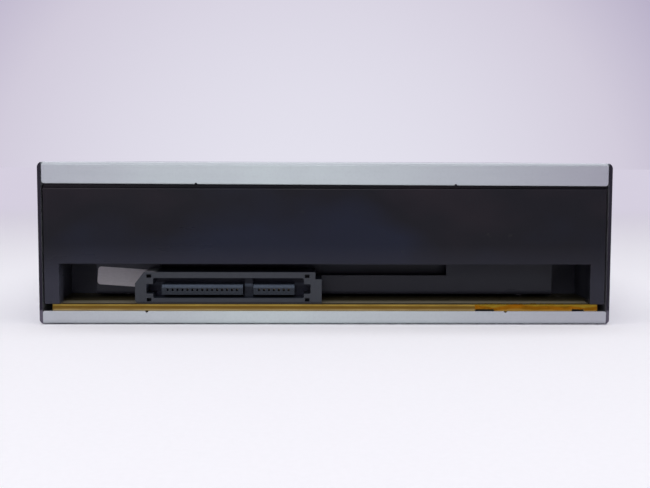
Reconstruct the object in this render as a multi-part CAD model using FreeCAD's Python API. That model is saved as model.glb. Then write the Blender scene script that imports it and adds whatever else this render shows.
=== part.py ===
import FreeCAD, Part
import math
import os
from FreeCAD import Vector

# Optical disc writer for a 5.25 inch half-height bay.
# Millimetres. The front faces -Y, the connector end faces +Y, +Z is up.
# The origin is under the middle of the case, on the surface that it stands on.

# Case
CASE_WIDTH = 146.0
CASE_HEIGHT = 41.3
CASE_DEPTH = 170.0
FRONT_WIDTH = 148.0
FRONT_DEPTH = 6.0
SHEET = 0.8
REAR_Y = (CASE_DEPTH + FRONT_DEPTH) / 2
CASE_FRONT_Y = REAR_Y - CASE_DEPTH
FRONT_Y = CASE_FRONT_Y - FRONT_DEPTH
HALF_CASE = CASE_WIDTH / 2
SEAM_Z = 3.5
TOP_BEND = 1.4
BOTTOM_BEND = 1.1
END_BEND = 0.95
END_STEP = 0.2
TOP_FLANGE_Z = 35.8
FLANGE_DROP = 0.35
BOTTOM_FLANGE_Z = 3.3
FLANGE_HALF = 72.0
FLANGE_GAP = 0.1
FLANGE_CORNER = 0.8
BASE_LIP_CORNER = 0.4
FLANGE_EASE = 0.25
NOTCH = 0.38
TOP_NOTCHES_X = (-33.0, 33.0)
BOTTOM_NOTCHES_X = (-46.2, 45.7)
PRESSED_DEPTH = 0.5
PRESSED_SLOPE = 1.2
PRESSED_CORNER = 8.0
TOP_PRESSINGS = (((-58.0, 58.0), (-70.0, -44.0)), ((-58.0, 58.0), (20.0, 76.0)))
BOTTOM_PRESSINGS = (((-40.0, 40.0), (-40.0, 8.0)), ((-40.0, 40.0), (22.0, 60.0)))
SEAT_FOOT = 6.5
SEAT_TOP = 3.6
COVER_SCREW = 1.5
COVER_SCREW_HEAD = 2.6
COVER_SCREWS = ((-66.0, -60.0), (66.0, -60.0), (-66.0, -15.0), (66.0, -15.0))

# Fixing holes of the bay standard
HOLE_RADIUS = 1.5
HOLE_ROWS_Y = (-34.6, 44.64)
SIDE_HOLES_Z = (10.0, 21.84)
BASE_HOLES_X = 69.85

# Plastic chassis
BOARD_Z = (3.3, 5.1)
WALL_IN = 69.7
WALL_OUT = 71.7
WALL = WALL_OUT - WALL_IN
WALL_Z = (BOARD_Z[1], 34.2)
CHASSIS_Y = (CASE_FRONT_Y + 0.3, REAR_Y - 0.5)
REAR_WALL_Z = (15.4, 34.85)
REAR_STEP = 0.9
REAR_STEP_TOP = 40.0
BAY_WALL_Y = 75.0
BAY_WALL_LOW = 5.9
BAY_WALL_EASE = 1.0
BAY_HALF = 61.0
BAY_SLOT_X = (-32.6, 44.0)
BAY_SLOT_Z = (11.1, 13.9)
SLOT_BACK_Y = (68.5, 69.7)
SLOT_BACK_LOW = 9.5
LEG_IN = 68.0
LEG_DEPTH = 4.5
RECESS_Y = 66.0
RECESS_ROOF = 1.6
DECK_TOP = 10.0
DECK_REAR_Y = -51.8
SIDE_DECK_Z = (13.0, 15.0)
SIDE_DECK_IN = 53.0

SNAP_ROWS_Y = (-62.0, 8.0, 66.0)
SNAP_HALF = 4.0
SNAP_Z = (27.6, 30.4)
SNAP_PLAY = 0.2
SNAP_PAD_HALF = 6.0
SNAP_PAD_Z = (8.0, 33.0)
TRAY_KEEPERS_Y = (-68.0, 24.0, 60.0)
KEEPER_IN = 60.5
KEEPER_HALF = 3.0
BRIDGE_POSTS_Y = (-26.5, -1.5)
BRIDGE_POST_IN = 66.2
BRIDGE_POST_HALF = 3.5
RUNNER_IN = 61.6
FENCE = 1.1
FENCE_TOP = 20.5
PIVOT_BLOCK_X = (47.3, 51.2)
PIVOT_BLOCK_HALF = 3.5
PIVOT_BLOCK_TOP = 18.5
PIVOT_BRIDGE_TOP = 17.0
COVER_POST = 3.0
COVER_PILOT = 1.2
DRIVE_POST = 2.0
IDLER_POST = 1.5
THRUST_STEP = 0.4
CAM_HOOKS_X = (4.0, 24.0)
CAM_HOOK_HALF = 1.5
CAM_HOOK_Y = (-55.0, -53.9, -52.4)
CAM_HOOK_Z = (11.9, 13.2)
FRONT_BOSS = 2.0
FRONT_BOSS_Y = -70.0

# Tray and loading train
TRAY_HALF = 64.5
TRAY_Y = (-84.5, 74.0)
TRAY_FLOOR_Z = 25.5
TRAY_RIM_Z = 27.5
TRAY_BASE_Z = 23.5
TRAY_SKIRT_Z = 17.5
TRAY_CORNER = 6.0
TRAY_SKIRT = 2.0
TRAY_APRON_Z = 20.5
TRAY_APRON = 1.6
DISC_RECESS = 61.0
SMALL_RECESS = 41.0
SMALL_RECESS_DEPTH = 0.8
TABLE_HOLE = 20.0
PICKUP_SLOT_X = (-27.0, 25.0)
PICKUP_SLOT_END = 50.0
PICKUP_ROOM_X = (-30.0, 28.0)
PICKUP_ROOM_START = 46.0
FINGER_X = 36.0
FINGER_Y = -70.0
FINGER = 13.0
FINGER_DEPTH = 0.6
PRESSURE = math.radians(20.0)
TOOTH_PLAY = 0.14
RACK_MODULE = 0.8
PINION_TEETH = 20
WHEEL_MODULE = 0.6
WHEEL_TEETH = 46
IDLER_TEETH = 14
TRAIN_Y = -66.0
DRIVE_X = -44.0
RACK_X = DRIVE_X - RACK_MODULE * PINION_TEETH / 2
IDLER_X = DRIVE_X + WHEEL_MODULE * (WHEEL_TEETH + IDLER_TEETH) / 2
MOTOR_X = 8.0
MOTOR_RADIUS = 10.0
MOTOR_FLAT = 7.5
MOTOR_LOW = 1.6
MOTOR_PLATE = (11.5, 8.5)
MOTOR_PLATE_THICK = 1.2
MOTOR_SHAFT = 1.0
MOTOR_NOSE = 4.0
MOTOR_NOSE_TOP = 12.6
RACK_TOOTH_COUNT = 57
RACK_BACK = 4.0
ADDENDUM = 0.9
DEDENDUM = 1.2
GEAR_HUB = 5.0
GEAR_WEB = 11.4
WHEEL_Z = (10.45, 13.4)
PINION_Z = (18.2, 22.6)
RACK_Z = (19.0, 23.5)
PULLEY_Z = (13.8, 17.6)
PULLEY_RIM = 0.7
PULLEY_DISH = (4.0, 8.6)
PULLEY_DISH_DEPTH = 1.2
IDLER_GROOVE = 10.3
MOTOR_GROOVE = 2.6
BELT = 1.2
RUNNING = 0.05

# Lifting traverse, drawn level and then lowered about its rear pivot
SPINDLE_Y = -14.0
PIVOT_Y = 64.0
PIVOT_Z = 16.0
REST_TILT = 5.5
TRAVERSE_HALF = 46.0
TRAVERSE_Y = (-46.5, 66.0)
TRAVERSE_Z = (13.0, 19.0)
TRAVERSE_WALL = 1.8
TRAVERSE_WEB = (15.0, 17.0)
SLED_OPENING_X = (-39.0, 29.0)
SLED_OPENING_Y = (-6.5, 59.5)
OPENING_RIM = 1.6
PIVOT_END = 51.0
PIVOT_PIN = 2.0
CAM_PIN = 1.2
CAM_PIN_Z = 17.0
CAM_PINS_X = (-16.0, 12.0)
CAM_TRAVEL = 22.0
CAM_PIN_END = -51.2
CAM_WALL_X = (-22.0, 40.0)
CAM_WALL_Y = (-50.5, -48.5)
CAM_WALL_Z = (3.4, 21.0)
CAM_SLOT_PLAY = 0.35
CAM_SLOT_REST = 2.0
CAM_FOOT_X = (-4.0, 30.0)
CAM_FOOT_Y = -53.5
CAM_ARM_X = (-28.0, -4.8)
CAM_ARM_Z = (18.3, 20.3)
CAM_RACK_Y = -56.18
CAM_RACK_START = -26.5
CAM_RACK_TEETH = 9
ROD = 1.5
ROD_Y = (-8.1, 61.1)
MAIN_ROD_X = -26.0
SUB_ROD_X = 24.2
SCREW_X = -35.0
SCREW_RADIUS = 1.4
FEED_MOTOR = 5.5
FEED_MOTOR_Y = (-22.4, -8.1)
FEED_CAP = 4.0
FEED_CAP_DEPTH = 1.0
FEED_BORE = 1.9
SCREW_END_PLAY = 0.2
NUT_HALF = 3.0
NUT_RISE = 1.8
NUT_REACH = 2.4
SPINDLE_ROOM = 15.4
SPINDLE_PLATE_X = 20.0
SPINDLE_PLATE_Y = (-36.0, -8.4)
SPINDLE_PLATE_THICK = 1.2
SPINDLE_PLATE_CORNER = 3.0
SPINDLE_SCREW_X = 16.0
SPINDLE_SCREW_Y = -33.0
SPINDLE_SCREW = 1.1
STATOR_RADIUS = 11.5
STATOR_TOP = 18.5
SLEEVE_RADIUS = 4.0
SLEEVE_TOP = 22.0
SHAFT_LOW = 15.3
ROTOR_RADII = (12.3, 13.5)
ROTOR_LOW = 17.5
ROTOR_ROOF_Z = (24.0, 25.0)
HUB_RADII = (7.45, 5.2)
HUB_Z = (28.4, 29.6)
SLED_X = (-22.5, 21.0)
SLED_Z = (12.8, 20.5)
SLED_HALF = 13.0
SLED_CORNER = 2.0
SLED_BEARING = 3.4
SLED_NECK_RISE = 2.0
SLED_POCKET_X = (-16.0, 14.0)
SLED_POCKET_DEPTH = 1.8
FORK_HALF = 6.0
FORK_RISE = 3.0
FORK_REACH = 2.3
PICKUP_COVER_X = (-20.0, 19.0)
PICKUP_COVER_Y = (2.4, 20.0)
PICKUP_COVER_HEIGHT = 2.7
PICKUP_COVER_SHEET = 0.6
PICKUP_COVER_CORNER = 1.5
LENS_WINDOW = (6.6, 4.2)
LENS_Y = 8.0
LENS_RADIUS = 2.4
LENS_SEAT_Z = 24.2
LENS_RIM = 0.5
LENS_DOME = ((0.5, 1.0), (1.3, 1.35))
LENS_HEIGHT = 1.5
LENS_HOLDER = (6.0, 3.6)
LENS_HOLDER_CORNER = 1.2
LENS_SEAT_DEPTH = 0.8
DISC_SEAT_Z = 27.3
RING_THICK = 0.4
RING_INSIDE = 9.5
RING_INSET = 0.3
TABLE_RADIUS = 14.5

# Clamp bridge above the disc
BRIDGE_Z = (31.0, 32.0)
BRIDGE_Y = (-30.0, 2.0)
BRIDGE_HALF = 69.4
BRIDGE_EDGE_HALF = 58.0
BRIDGE_EDGE_TOP = 34.5
BRIDGE_WINDOW_X = (24.0, 52.0)
BRIDGE_WINDOW_HALF = 8.0
BRIDGE_WINDOW_CORNER = 4.0
BRIDGE_CORNER = 3.0
CLAMP_HOLE = 12.4
CLAMPER_RADIUS = 14.5
CLAMPER_Z = (28.8, 30.6)
CLAMPER_EASE = 0.5
CLAMPER_DRAFT = 0.1
CLAMPER_RING = 10.6
CLAMPER_COLLAR = 11.8
CLAMPER_JOIN_Z = 33.2
CLAMPER_TOP = 34.4
CAP_INSIDE = 12.8
CAP_EASE = 0.8
HUB_RELIEF = 9.5
MAGNET_RADII = (3.0, 9.0)
MAGNET_Z = (31.1, 32.7)

# Circuit board and rear connector
BOARD_HALF = 70.0
BOARD_Y = (22.0, 87.3)
BOARD_SEAT_X = 54.0
BOARD_SEATS_Y = (34.0, 66.0)
BOARD_SCREW = 1.4
SNAPPED_X = ((-43.4, -38.5), (-66.5, -63.5))
SNAPPED_DEPTH = 4.0
SNAPPED_RISE = 0.45
FRONT_BOARD_Z = (5.0, 6.2)
FRONT_BOARD_X = (30.0, 66.0)
FRONT_BOARD_Y = (-80.5, -66.0)
FRONT_BOARD_BOSSES_X = (34.0, 62.0)
BUTTON_X = (53.0, 64.0)
BUTTON_Z = (7.0, 12.0)
BUTTON_PLAY = 0.3
STEM_X = (57.0, 60.0)
STEM_Z = (6.5, 7.7)
STEM_END = -80.1
LAMP_X = (41.0, 44.0)
LAMP_Z = (8.8, 10.2)
LAMP_INSET = 0.5
LAMP_HEIGHT = 1.6
EJECT_SWITCH = ((55.5, 61.5), (-78.0, -74.0), 1.7)
EJECT_PLUNGER = ((57.5, 59.5), (-79.0, -77.5), (0.4, 1.4))
TRAY_SWITCH = ((36.0, 44.0), (-63.0, -58.0), 4.5)
TRAY_LEVER = ((39.4, 40.6), (-61.0, -60.0), (4.0, 6.5))
SWITCH_CORNER = 0.4
PIPE_Y = (-80.4, -79.2)
PIPE_FOOT = 8.0
FACE_STEP = 0.5
FACE_WALL = 2.0
FACE_THICK = 2.5
FRONT_CORNER = 1.5
FRONT_EDGE = 0.8
WINDOW_FRAME = 1.6
WINDOW_HALF = 66.5
WINDOW_Z = (17.0, 36.6)
CLIP_X = (67.0, 69.4)
CLIP_Y = (-79.0, -76.0)
CLIP_Z = (21.0, 27.0)
CLIP_END = -75.0
CATCH_X = 70.8
LUG_X = (12.0, 18.0)
LUG_Z = (6.0, 8.0)
LUG_END = -77.0
PIN_HOLE = 0.7
PIN_HOLE_X = 20.0
PIN_HOLE_Z = 9.0
DOOR_GAP = 0.5
DOOR_EDGE = 0.7
DOOR_WALL = 1.6
SATA_X = (1.05, 48.8)
SATA_TOP = 13.2
SATA_SHOULDERS = (11.4, 10.3)
SATA_STEP = 1.6
SATA_SLOPE = 2.3
SATA_CHAMFER = 0.6
SATA_EDGE = 0.3
SATA_Y = (75.3, 87.0)
SOCKET_X = (5.6, 44.2)
SOCKET_Z = (6.5, 11.7)
SOCKET_DEPTH = 6.0
SOCKET_CORNER = 0.4
KEY_X = (3.9, 45.9)
KEY_Z = (7.65, 10.15)
PEG_HOLES_X = (4.75, 45.25)
PEG_HOLES_Z = (6.1, 12.2)
PEG_HOLE = (0.6, 0.45)
PEG_DEPTH = 2.5
TONGUE_Z = (7.3, 9.8)
TONGUES_X = ((8.05, 18.6), (21.3, 42.1))
TONGUE_Y = 86.2
TONGUE_LEAD = 0.75
KEY_RIB_X = (18.85, 20.9)
KEY_RIB_Y = 83.6
CONTACT_COUNTS = (7, 15)
CONTACT_PITCH = 1.27
CONTACT_WIDTH = 0.5
CHANNEL_Y = (82.0, 87.0)
CHANNEL_Z = (8.25, 8.85)
BLADE_Y = 83.4
BLADE = 0.4
CHIPS = (
    ((-34.0, -14.0), (38.0, 58.0), 1.4, 0.6),
    ((2.0, 12.0), (38.0, 56.0), 1.2, 0.4),
    ((26.0, 40.0), (40.0, 51.0), 2.0, 0.5),
)
CAPACITORS = ((58.0, 50.0), (58.0, 58.0), (-58.0, 54.0))
CAPACITOR = 3.1
CAPACITOR_HEIGHT = 5.6
CAPACITOR_EASE = 0.4
CABLE_SOCKETS_X = ((-14.0, 14.0), (36.0, 48.0))
CABLE_SOCKETS_Y = (24.0, 28.5)
CABLE_SOCKET_HEIGHT = 2.2
CABLE_SOCKET_CORNER = 0.4


def about(middle, half):
    """Low and high limit of a stretch of the given half length."""
    return (middle - half, middle + half)


def span(x, y, z):
    """Block between the low and high limits given for each axis."""
    size = (x[1] - x[0], y[1] - y[0], z[1] - z[0])
    return Part.makeBox(size[0], size[1], size[2], Vector(x[0], y[0], z[0]))


def both_sides(x, y, z):
    """The same block on the right and, mirrored, on the left."""
    return [span(x, y, z), span((-x[1], -x[0]), y, z)]


def place(u, v, along, level):
    """Point of a drawing plane that lies across an axis at a level."""
    if along == "x":
        return Vector(level, u, v)
    if along == "y":
        return Vector(u, level, v)
    return Vector(u, v, level)


def rounded_corner(before, here, after, radius):
    """Start, middle and end of the arc that rounds a corner."""
    back = (before - here).normalize()
    ahead = (after - here).normalize()
    half = back.getAngle(ahead) / 2
    reach = radius / math.tan(half)
    bisector = (back + ahead).normalize()
    middle = here + bisector * (radius / math.sin(half) - radius)
    return here + back * reach, middle, here + ahead * reach


def outline(corners, along, level):
    """Closed wire across an axis; a third value in a corner rounds it."""
    points = [place(corner[0], corner[1], along, level) for corner in corners]
    runs = []
    arcs = []
    for index, corner in enumerate(corners):
        here = points[index]
        if len(corner) > 2:
            after = points[(index + 1) % len(points)]
            arc = rounded_corner(points[index - 1], here, after, corner[2])
            runs.append((arc[0], arc[2]))
            arcs.append(Part.Arc(*arc).toShape())
        else:
            runs.append((here, here))
            arcs.append(None)
    edges = []
    for index, run in enumerate(runs):
        if arcs[index]:
            edges.append(arcs[index])
        start = run[1]
        end = runs[(index + 1) % len(runs)][0]
        if start.distanceToPoint(end) > 1e-6:
            edges.append(Part.LineSegment(start, end).toShape())
    return Part.Wire(edges)


def prism(corners, along, low, high):
    """Outline extruded along an axis between two levels."""
    face = Part.Face(outline(corners, along, low))
    return face.extrude(place(0, 0, along, high) - place(0, 0, along, low))


def rectangle(u, v, radius):
    """Corners of a rectangle with equally rounded corners."""
    return [(u[0], v[0], radius), (u[1], v[0], radius), (u[1], v[1], radius), (u[0], v[1], radius)]


def plate(x, y, z, radius):
    """Flat block whose four upright edges are rounded."""
    return prism(rectangle(x, y, radius), "z", z[0], z[1])


def draught(x, y, z, radius, taper):
    """Block that grows by the taper on each side from its low to its high end."""
    low = outline(rectangle(x, y, radius), "z", z[0])
    wide_x = (x[0] - taper, x[1] + taper)
    wide_y = (y[0] - taper, y[1] + taper)
    high = outline(rectangle(wide_x, wide_y, radius + taper), "z", z[1])
    return Part.makeLoft([low, high], True, True)


def post(x, y, z, radius):
    """Upright cylinder."""
    return Part.makeCylinder(radius, z[1] - z[0], Vector(x, y, z[0]))


def bar(along, u, v, limits, radius):
    """Round bar along an axis, placed in the plane across it."""
    start = place(u, v, along, limits[0])
    end = place(u, v, along, limits[1])
    return Part.makeCylinder(radius, limits[1] - limits[0], start, end - start)


def turned(profile, x, y):
    """Solid of revolution about an upright axis, from (radius, height) corners."""
    points = [Vector(x + radius, y, height) for radius, height in profile]
    face = Part.Face(Part.makePolygon(points + points[:1]))
    return face.revolve(Vector(x, y, 0), Vector(0, 0, 1), 360)


def joined(shapes):
    """One clean solid from touching or overlapping ones."""
    return shapes[0].multiFuse(shapes[1:]).removeSplitter()


def loop_face(first, first_radius, second, second_radius, along, level):
    """Face inside a band that runs tight round two circles."""
    gap = Vector(second[0] - first[0], second[1] - first[1], 0)
    heading = math.atan2(gap.y, gap.x)
    lean = math.acos((first_radius - second_radius) / gap.Length)

    def on(circle, radius, angle):
        return place(circle[0] + radius * math.cos(angle), circle[1] + radius * math.sin(angle), along, level)

    near = [on(first, first_radius, heading + turn) for turn in (lean, math.pi, -lean)]
    far = [on(second, second_radius, heading + turn) for turn in (-lean, 0, lean)]
    edges = [
        Part.Arc(*near).toShape(),
        Part.LineSegment(near[2], far[0]).toShape(),
        Part.Arc(*far).toShape(),
        Part.LineSegment(far[2], near[0]).toShape(),
    ]
    return Part.Face(Part.Wire(edges))


def half_tooth(radius, pitch_radius, teeth):
    """Half of an involute tooth's angle at a radius."""
    base = pitch_radius * math.cos(PRESSURE)
    roll = math.acos(base / max(radius, base))
    at_pitch = (math.pi / 2 - TOOTH_PLAY) / teeth
    return at_pitch + math.tan(PRESSURE) - PRESSURE - math.tan(roll) + roll


def gear(module, teeth, turn, x, y, z):
    """Spur gear with one tooth pointing at the angle given by turn."""
    pitch = module * teeth / 2
    root = pitch - DEDENDUM * module
    tip = pitch + ADDENDUM * module
    flank = ((root, -1), (pitch, -1), (tip, -1), (tip, 1), (pitch, 1), (root, 1))
    corners = []
    for tooth in range(teeth):
        middle = turn + 2 * math.pi * tooth / teeth
        for radius, side in flank:
            angle = middle + side * half_tooth(radius, pitch, teeth)
            corners.append((x + radius * math.cos(angle), y + radius * math.sin(angle)))
    return prism(corners, "z", z[0], z[1])


def side_ends(section):
    """Last stretch of a folded cover's two sides, beside its lip."""
    free = FLANGE_HALF + FLANGE_GAP
    bend_y = REAR_Y - END_BEND
    strip = prism(section, "y", bend_y, REAR_Y - END_STEP)
    lip_room = span((-free, free), (bend_y - 1, REAR_Y), (-1, CASE_HEIGHT + 1))
    return strip.cut(lip_room)


def flange_edge(x):
    """Level of the top lip's lower edge, which hangs a little lower towards -X."""
    return TOP_FLANGE_Z - FLANGE_DROP * (FLANGE_HALF - x) / (2 * FLANGE_HALF)


def make_top_lip():
    """Short lip folded down over the connector end, with an eased lower edge."""
    inside = CASE_HEIGHT - SHEET
    bend_y = REAR_Y - END_BEND
    low = flange_edge(-FLANGE_HALF)
    lip = prism(
        [
            (bend_y, CASE_HEIGHT), (REAR_Y, CASE_HEIGHT, END_BEND), (REAR_Y, low),
            (REAR_Y - SHEET, low), (REAR_Y - SHEET, inside, END_BEND - SHEET), (bend_y, inside),
        ],
        "x", -FLANGE_HALF, FLANGE_HALF,
    )
    shape = prism(
        [
            (-FLANGE_HALF, CASE_HEIGHT, END_BEND), (-FLANGE_HALF, low, FLANGE_CORNER),
            (FLANGE_HALF, TOP_FLANGE_Z, FLANGE_CORNER), (FLANGE_HALF, CASE_HEIGHT, END_BEND),
        ],
        "y", bend_y, REAR_Y,
    )
    lip = lip.common(shape)
    outer = [edge for edge in lip.Edges if edge.BoundBox.YMin > REAR_Y - 0.01]
    lower = [edge for edge in outer if edge.BoundBox.ZMax < TOP_FLANGE_Z + 0.1]
    lip = lip.makeFillet(FLANGE_EASE, [max(lower, key=lambda edge: edge.Length)])
    return lip.cut([bar("y", x, flange_edge(x), (bend_y, REAR_Y + 1), NOTCH) for x in TOP_NOTCHES_X])


def make_top_cover():
    """Folded lid: top, two sides and the short lip over the connector end."""
    side = HALF_CASE - SHEET
    inside = CASE_HEIGHT - SHEET
    section = [
        (-HALF_CASE, SEAM_Z), (-HALF_CASE, CASE_HEIGHT, TOP_BEND),
        (HALF_CASE, CASE_HEIGHT, TOP_BEND), (HALF_CASE, SEAM_Z),
        (side, SEAM_Z), (side, inside, TOP_BEND - SHEET),
        (-side, inside, TOP_BEND - SHEET), (-side, SEAM_Z),
    ]
    folded = prism(section, "y", CASE_FRONT_Y, REAR_Y - END_BEND)
    cover = joined([folded, make_top_lip(), side_ends(section)])
    low = CASE_HEIGHT - PRESSED_DEPTH
    for x, y in TOP_PRESSINGS:
        pressed = draught(x, y, (low - SHEET, inside), PRESSED_CORNER, PRESSED_SLOPE)
        hollow = draught(x, y, (low, CASE_HEIGHT), PRESSED_CORNER - SHEET, PRESSED_SLOPE)
        cover = cover.fuse(pressed).cut(hollow)
    cuts = []
    for y in HOLE_ROWS_Y:
        for z in SIDE_HOLES_Z:
            cuts.append(bar("x", y, z, (-HALF_CASE - 1, HALF_CASE + 1), HOLE_RADIUS))
    half = SNAP_HALF + SNAP_PLAY
    window_z = (SNAP_Z[0] - SNAP_PLAY, SNAP_Z[1] + SNAP_PLAY)
    for y in SNAP_ROWS_Y:
        cuts += both_sides((side - 1, HALF_CASE + 1), (y - half, y + half), window_z)
    return cover.cut(cuts).removeSplitter()


def make_bottom_cover():
    """Folded base pan with an upturned lip and raised seats for the circuit board."""
    side = HALF_CASE - SHEET
    lip_half = FLANGE_HALF + FLANGE_GAP
    bend_y = REAR_Y - END_BEND
    section = [
        (-HALF_CASE, SEAM_Z), (-HALF_CASE, 0, BOTTOM_BEND), (HALF_CASE, 0, BOTTOM_BEND), (HALF_CASE, SEAM_Z),
        (side, SEAM_Z), (side, SHEET, BOTTOM_BEND - SHEET),
        (-side, SHEET, BOTTOM_BEND - SHEET), (-side, SEAM_Z),
    ]
    pan = prism(section, "y", CASE_FRONT_Y, bend_y)
    lip = prism(
        [
            (bend_y, 0), (REAR_Y, 0, END_BEND), (REAR_Y, BOTTOM_FLANGE_Z),
            (REAR_Y - SHEET, BOTTOM_FLANGE_Z), (REAR_Y - SHEET, SHEET, END_BEND - SHEET), (bend_y, SHEET),
        ],
        "x", -lip_half, lip_half,
    )
    lip_shape = prism(
        [
            (-lip_half, -1), (lip_half, -1),
            (lip_half, BOTTOM_FLANGE_Z, BASE_LIP_CORNER), (-lip_half, BOTTOM_FLANGE_Z, BASE_LIP_CORNER),
        ],
        "y", bend_y, REAR_Y,
    )
    base = joined([pan, lip.common(lip_shape), side_ends(section)])
    rise = BOARD_Z[0] - SHEET
    for x in (-BOARD_SEAT_X, BOARD_SEAT_X):
        for y in BOARD_SEATS_Y:
            base = base.fuse(Part.makeCone(SEAT_FOOT, SEAT_TOP, rise, Vector(x, y, SHEET)))
            base = base.cut(Part.makeCone(SEAT_FOOT - 0.5, SEAT_TOP - 0.5, rise, Vector(x, y, 0)))
    for x, y in BOTTOM_PRESSINGS:
        pressed = draught(x, y, (SHEET, SHEET + PRESSED_DEPTH), PRESSED_CORNER, -PRESSED_SLOPE)
        hollow = draught(x, y, (0, PRESSED_DEPTH), PRESSED_CORNER - SHEET, -PRESSED_SLOPE)
        base = base.fuse(pressed).cut(hollow)
    cuts = [bar("y", x, BOTTOM_FLANGE_Z, (bend_y, REAR_Y + 1), NOTCH) for x in BOTTOM_NOTCHES_X]
    for x in (-BASE_HOLES_X, BASE_HOLES_X):
        for y in HOLE_ROWS_Y:
            cuts.append(post(x, y, (-1, SEAM_Z), HOLE_RADIUS))
    for x, y in COVER_SCREWS:
        cuts.append(Part.makeCone(COVER_SCREW_HEAD, COVER_SCREW, SHEET, Vector(x, y, 0)))
    return base.cut(cuts).removeSplitter()


def tray_channel():
    """Runner under the tray's skirt and the fence outside it, for one side."""
    fence_in = TRAY_HALF + 0.3
    runner = TRAY_SKIRT_Z - 0.2
    return prism(
        [
            (RUNNER_IN, DECK_TOP), (fence_in + FENCE, DECK_TOP), (fence_in + FENCE, FENCE_TOP, 0.4),
            (fence_in, FENCE_TOP, 0.4), (fence_in, runner), (RUNNER_IN, runner, 0.5),
        ],
        "y", CHASSIS_Y[0], RECESS_Y - WALL / 2,
    )


def chassis_walls():
    """Side walls, rear wall, connector bay and decks of the moulded chassis."""
    rear = CHASSIS_Y[1]
    low, high = REAR_WALL_Z
    shelf_z = (low, low + WALL)
    inner = BAY_WALL_Y - WALL
    foot = WALL_Z[0]
    pieces = both_sides((WALL_IN, WALL_OUT), CHASSIS_Y, WALL_Z)
    step = rear - REAR_STEP
    rear_section = [(rear - WALL, low), (rear, low, 0.3), (rear, high, 0.5), (step, high)]
    rear_section += [(step, REAR_STEP_TOP, 0.4), (rear - WALL, REAR_STEP_TOP, 0.4)]
    pieces.append(prism(rear_section, "x", -WALL_OUT, WALL_OUT))
    pieces += both_sides((LEG_IN, WALL_OUT), (rear - LEG_DEPTH, rear), (foot, shelf_z[1]))
    pieces.append(span((-WALL_IN, WALL_IN), (inner, rear), shelf_z))
    wall_section = [(inner, BAY_WALL_LOW), (BAY_WALL_Y, BAY_WALL_LOW, BAY_WALL_EASE)]
    wall_section += [(BAY_WALL_Y, shelf_z[1]), (inner, shelf_z[1])]
    pieces.append(prism(wall_section, "x", -BAY_HALF, BAY_HALF))
    pocket_x = (BAY_SLOT_X[0] - WALL, BAY_SLOT_X[1] + WALL)
    pieces.append(span(pocket_x, SLOT_BACK_Y, (SLOT_BACK_LOW, shelf_z[1])))
    pieces.append(span(pocket_x, (SLOT_BACK_Y[0], inner), shelf_z))
    recess = RECESS_Y - WALL
    pieces += both_sides((BAY_HALF - WALL, BAY_HALF), (recess, inner), (BAY_WALL_LOW, low))
    pieces += both_sides((BAY_HALF - WALL, WALL_IN), (recess, RECESS_Y), (foot, low))
    pieces += both_sides((BAY_HALF - WALL, WALL_IN), (recess, inner), (low, low + RECESS_ROOF))
    pieces.append(span((-WALL_IN, WALL_IN), (CHASSIS_Y[0], DECK_REAR_Y), (DECK_TOP - WALL, DECK_TOP)))
    pieces += both_sides((SIDE_DECK_IN, WALL_IN), (DECK_REAR_Y, RECESS_Y), SIDE_DECK_Z)
    pieces += both_sides((SIDE_DECK_IN, WALL_IN), (DECK_REAR_Y - 0.8, DECK_REAR_Y),
                         (DECK_TOP - WALL, SIDE_DECK_Z[1]))
    pieces.append(tray_channel())
    pieces.append(tray_channel().mirror(Vector(0, 0, 0), Vector(1, 0, 0)))
    return pieces


def chassis_fittings():
    """Tray keepers, bridge posts, pivot blocks, feet, snaps and gear posts."""
    pieces = []
    side = HALF_CASE - SHEET
    for y in TRAY_KEEPERS_Y:
        pieces += both_sides((KEEPER_IN, WALL_IN), (y - KEEPER_HALF, y + KEEPER_HALF),
                             (TRAY_RIM_Z + 0.4, TRAY_RIM_Z + WALL))
    for y in BRIDGE_POSTS_Y:
        pieces += both_sides((BRIDGE_POST_IN, WALL_IN), (y - BRIDGE_POST_HALF, y + BRIDGE_POST_HALF),
                             (SIDE_DECK_Z[1], BRIDGE_Z[0]))
    block_y = (PIVOT_Y - PIVOT_BLOCK_HALF, PIVOT_Y + PIVOT_BLOCK_HALF)
    pieces += both_sides(PIVOT_BLOCK_X, block_y, (DECK_TOP, PIVOT_BLOCK_TOP))
    pieces += both_sides((PIVOT_BLOCK_X[1], SIDE_DECK_IN), block_y, (DECK_TOP, PIVOT_BRIDGE_TOP))
    for y in SNAP_ROWS_Y:
        pieces += both_sides((WALL_OUT, side), (y - SNAP_PAD_HALF, y + SNAP_PAD_HALF), SNAP_PAD_Z)
        pieces += both_sides((side, HALF_CASE - 0.1), (y - SNAP_HALF, y + SNAP_HALF), SNAP_Z)
    for x, y in COVER_SCREWS:
        deck = DECK_TOP if y < DECK_REAR_Y else SIDE_DECK_Z[1]
        pieces.append(post(x, y, (SHEET, deck - 1), COVER_POST))
    for x, radius, top in ((DRIVE_X, DRIVE_POST, PINION_Z[1]), (IDLER_X, IDLER_POST, PULLEY_Z[1])):
        pieces.append(post(x, TRAIN_Y, (DECK_TOP - 1, DECK_TOP + THRUST_STEP), 2 * radius))
        pieces.append(post(x, TRAIN_Y, (DECK_TOP, top - 0.2), radius))
    for x in FRONT_BOARD_BOSSES_X:
        pieces.append(post(x, FRONT_BOSS_Y, (FRONT_BOARD_Z[1], DECK_TOP - 1), FRONT_BOSS))
    low, middle, high = CAM_HOOK_Y
    for x in CAM_HOOKS_X:
        hook_x = (x - CAM_HOOK_HALF, x + CAM_HOOK_HALF)
        pieces.append(span(hook_x, (low, middle), (DECK_TOP - 1, CAM_HOOK_Z[1])))
        pieces.append(span(hook_x, (low, high), CAM_HOOK_Z))
    return pieces


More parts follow.
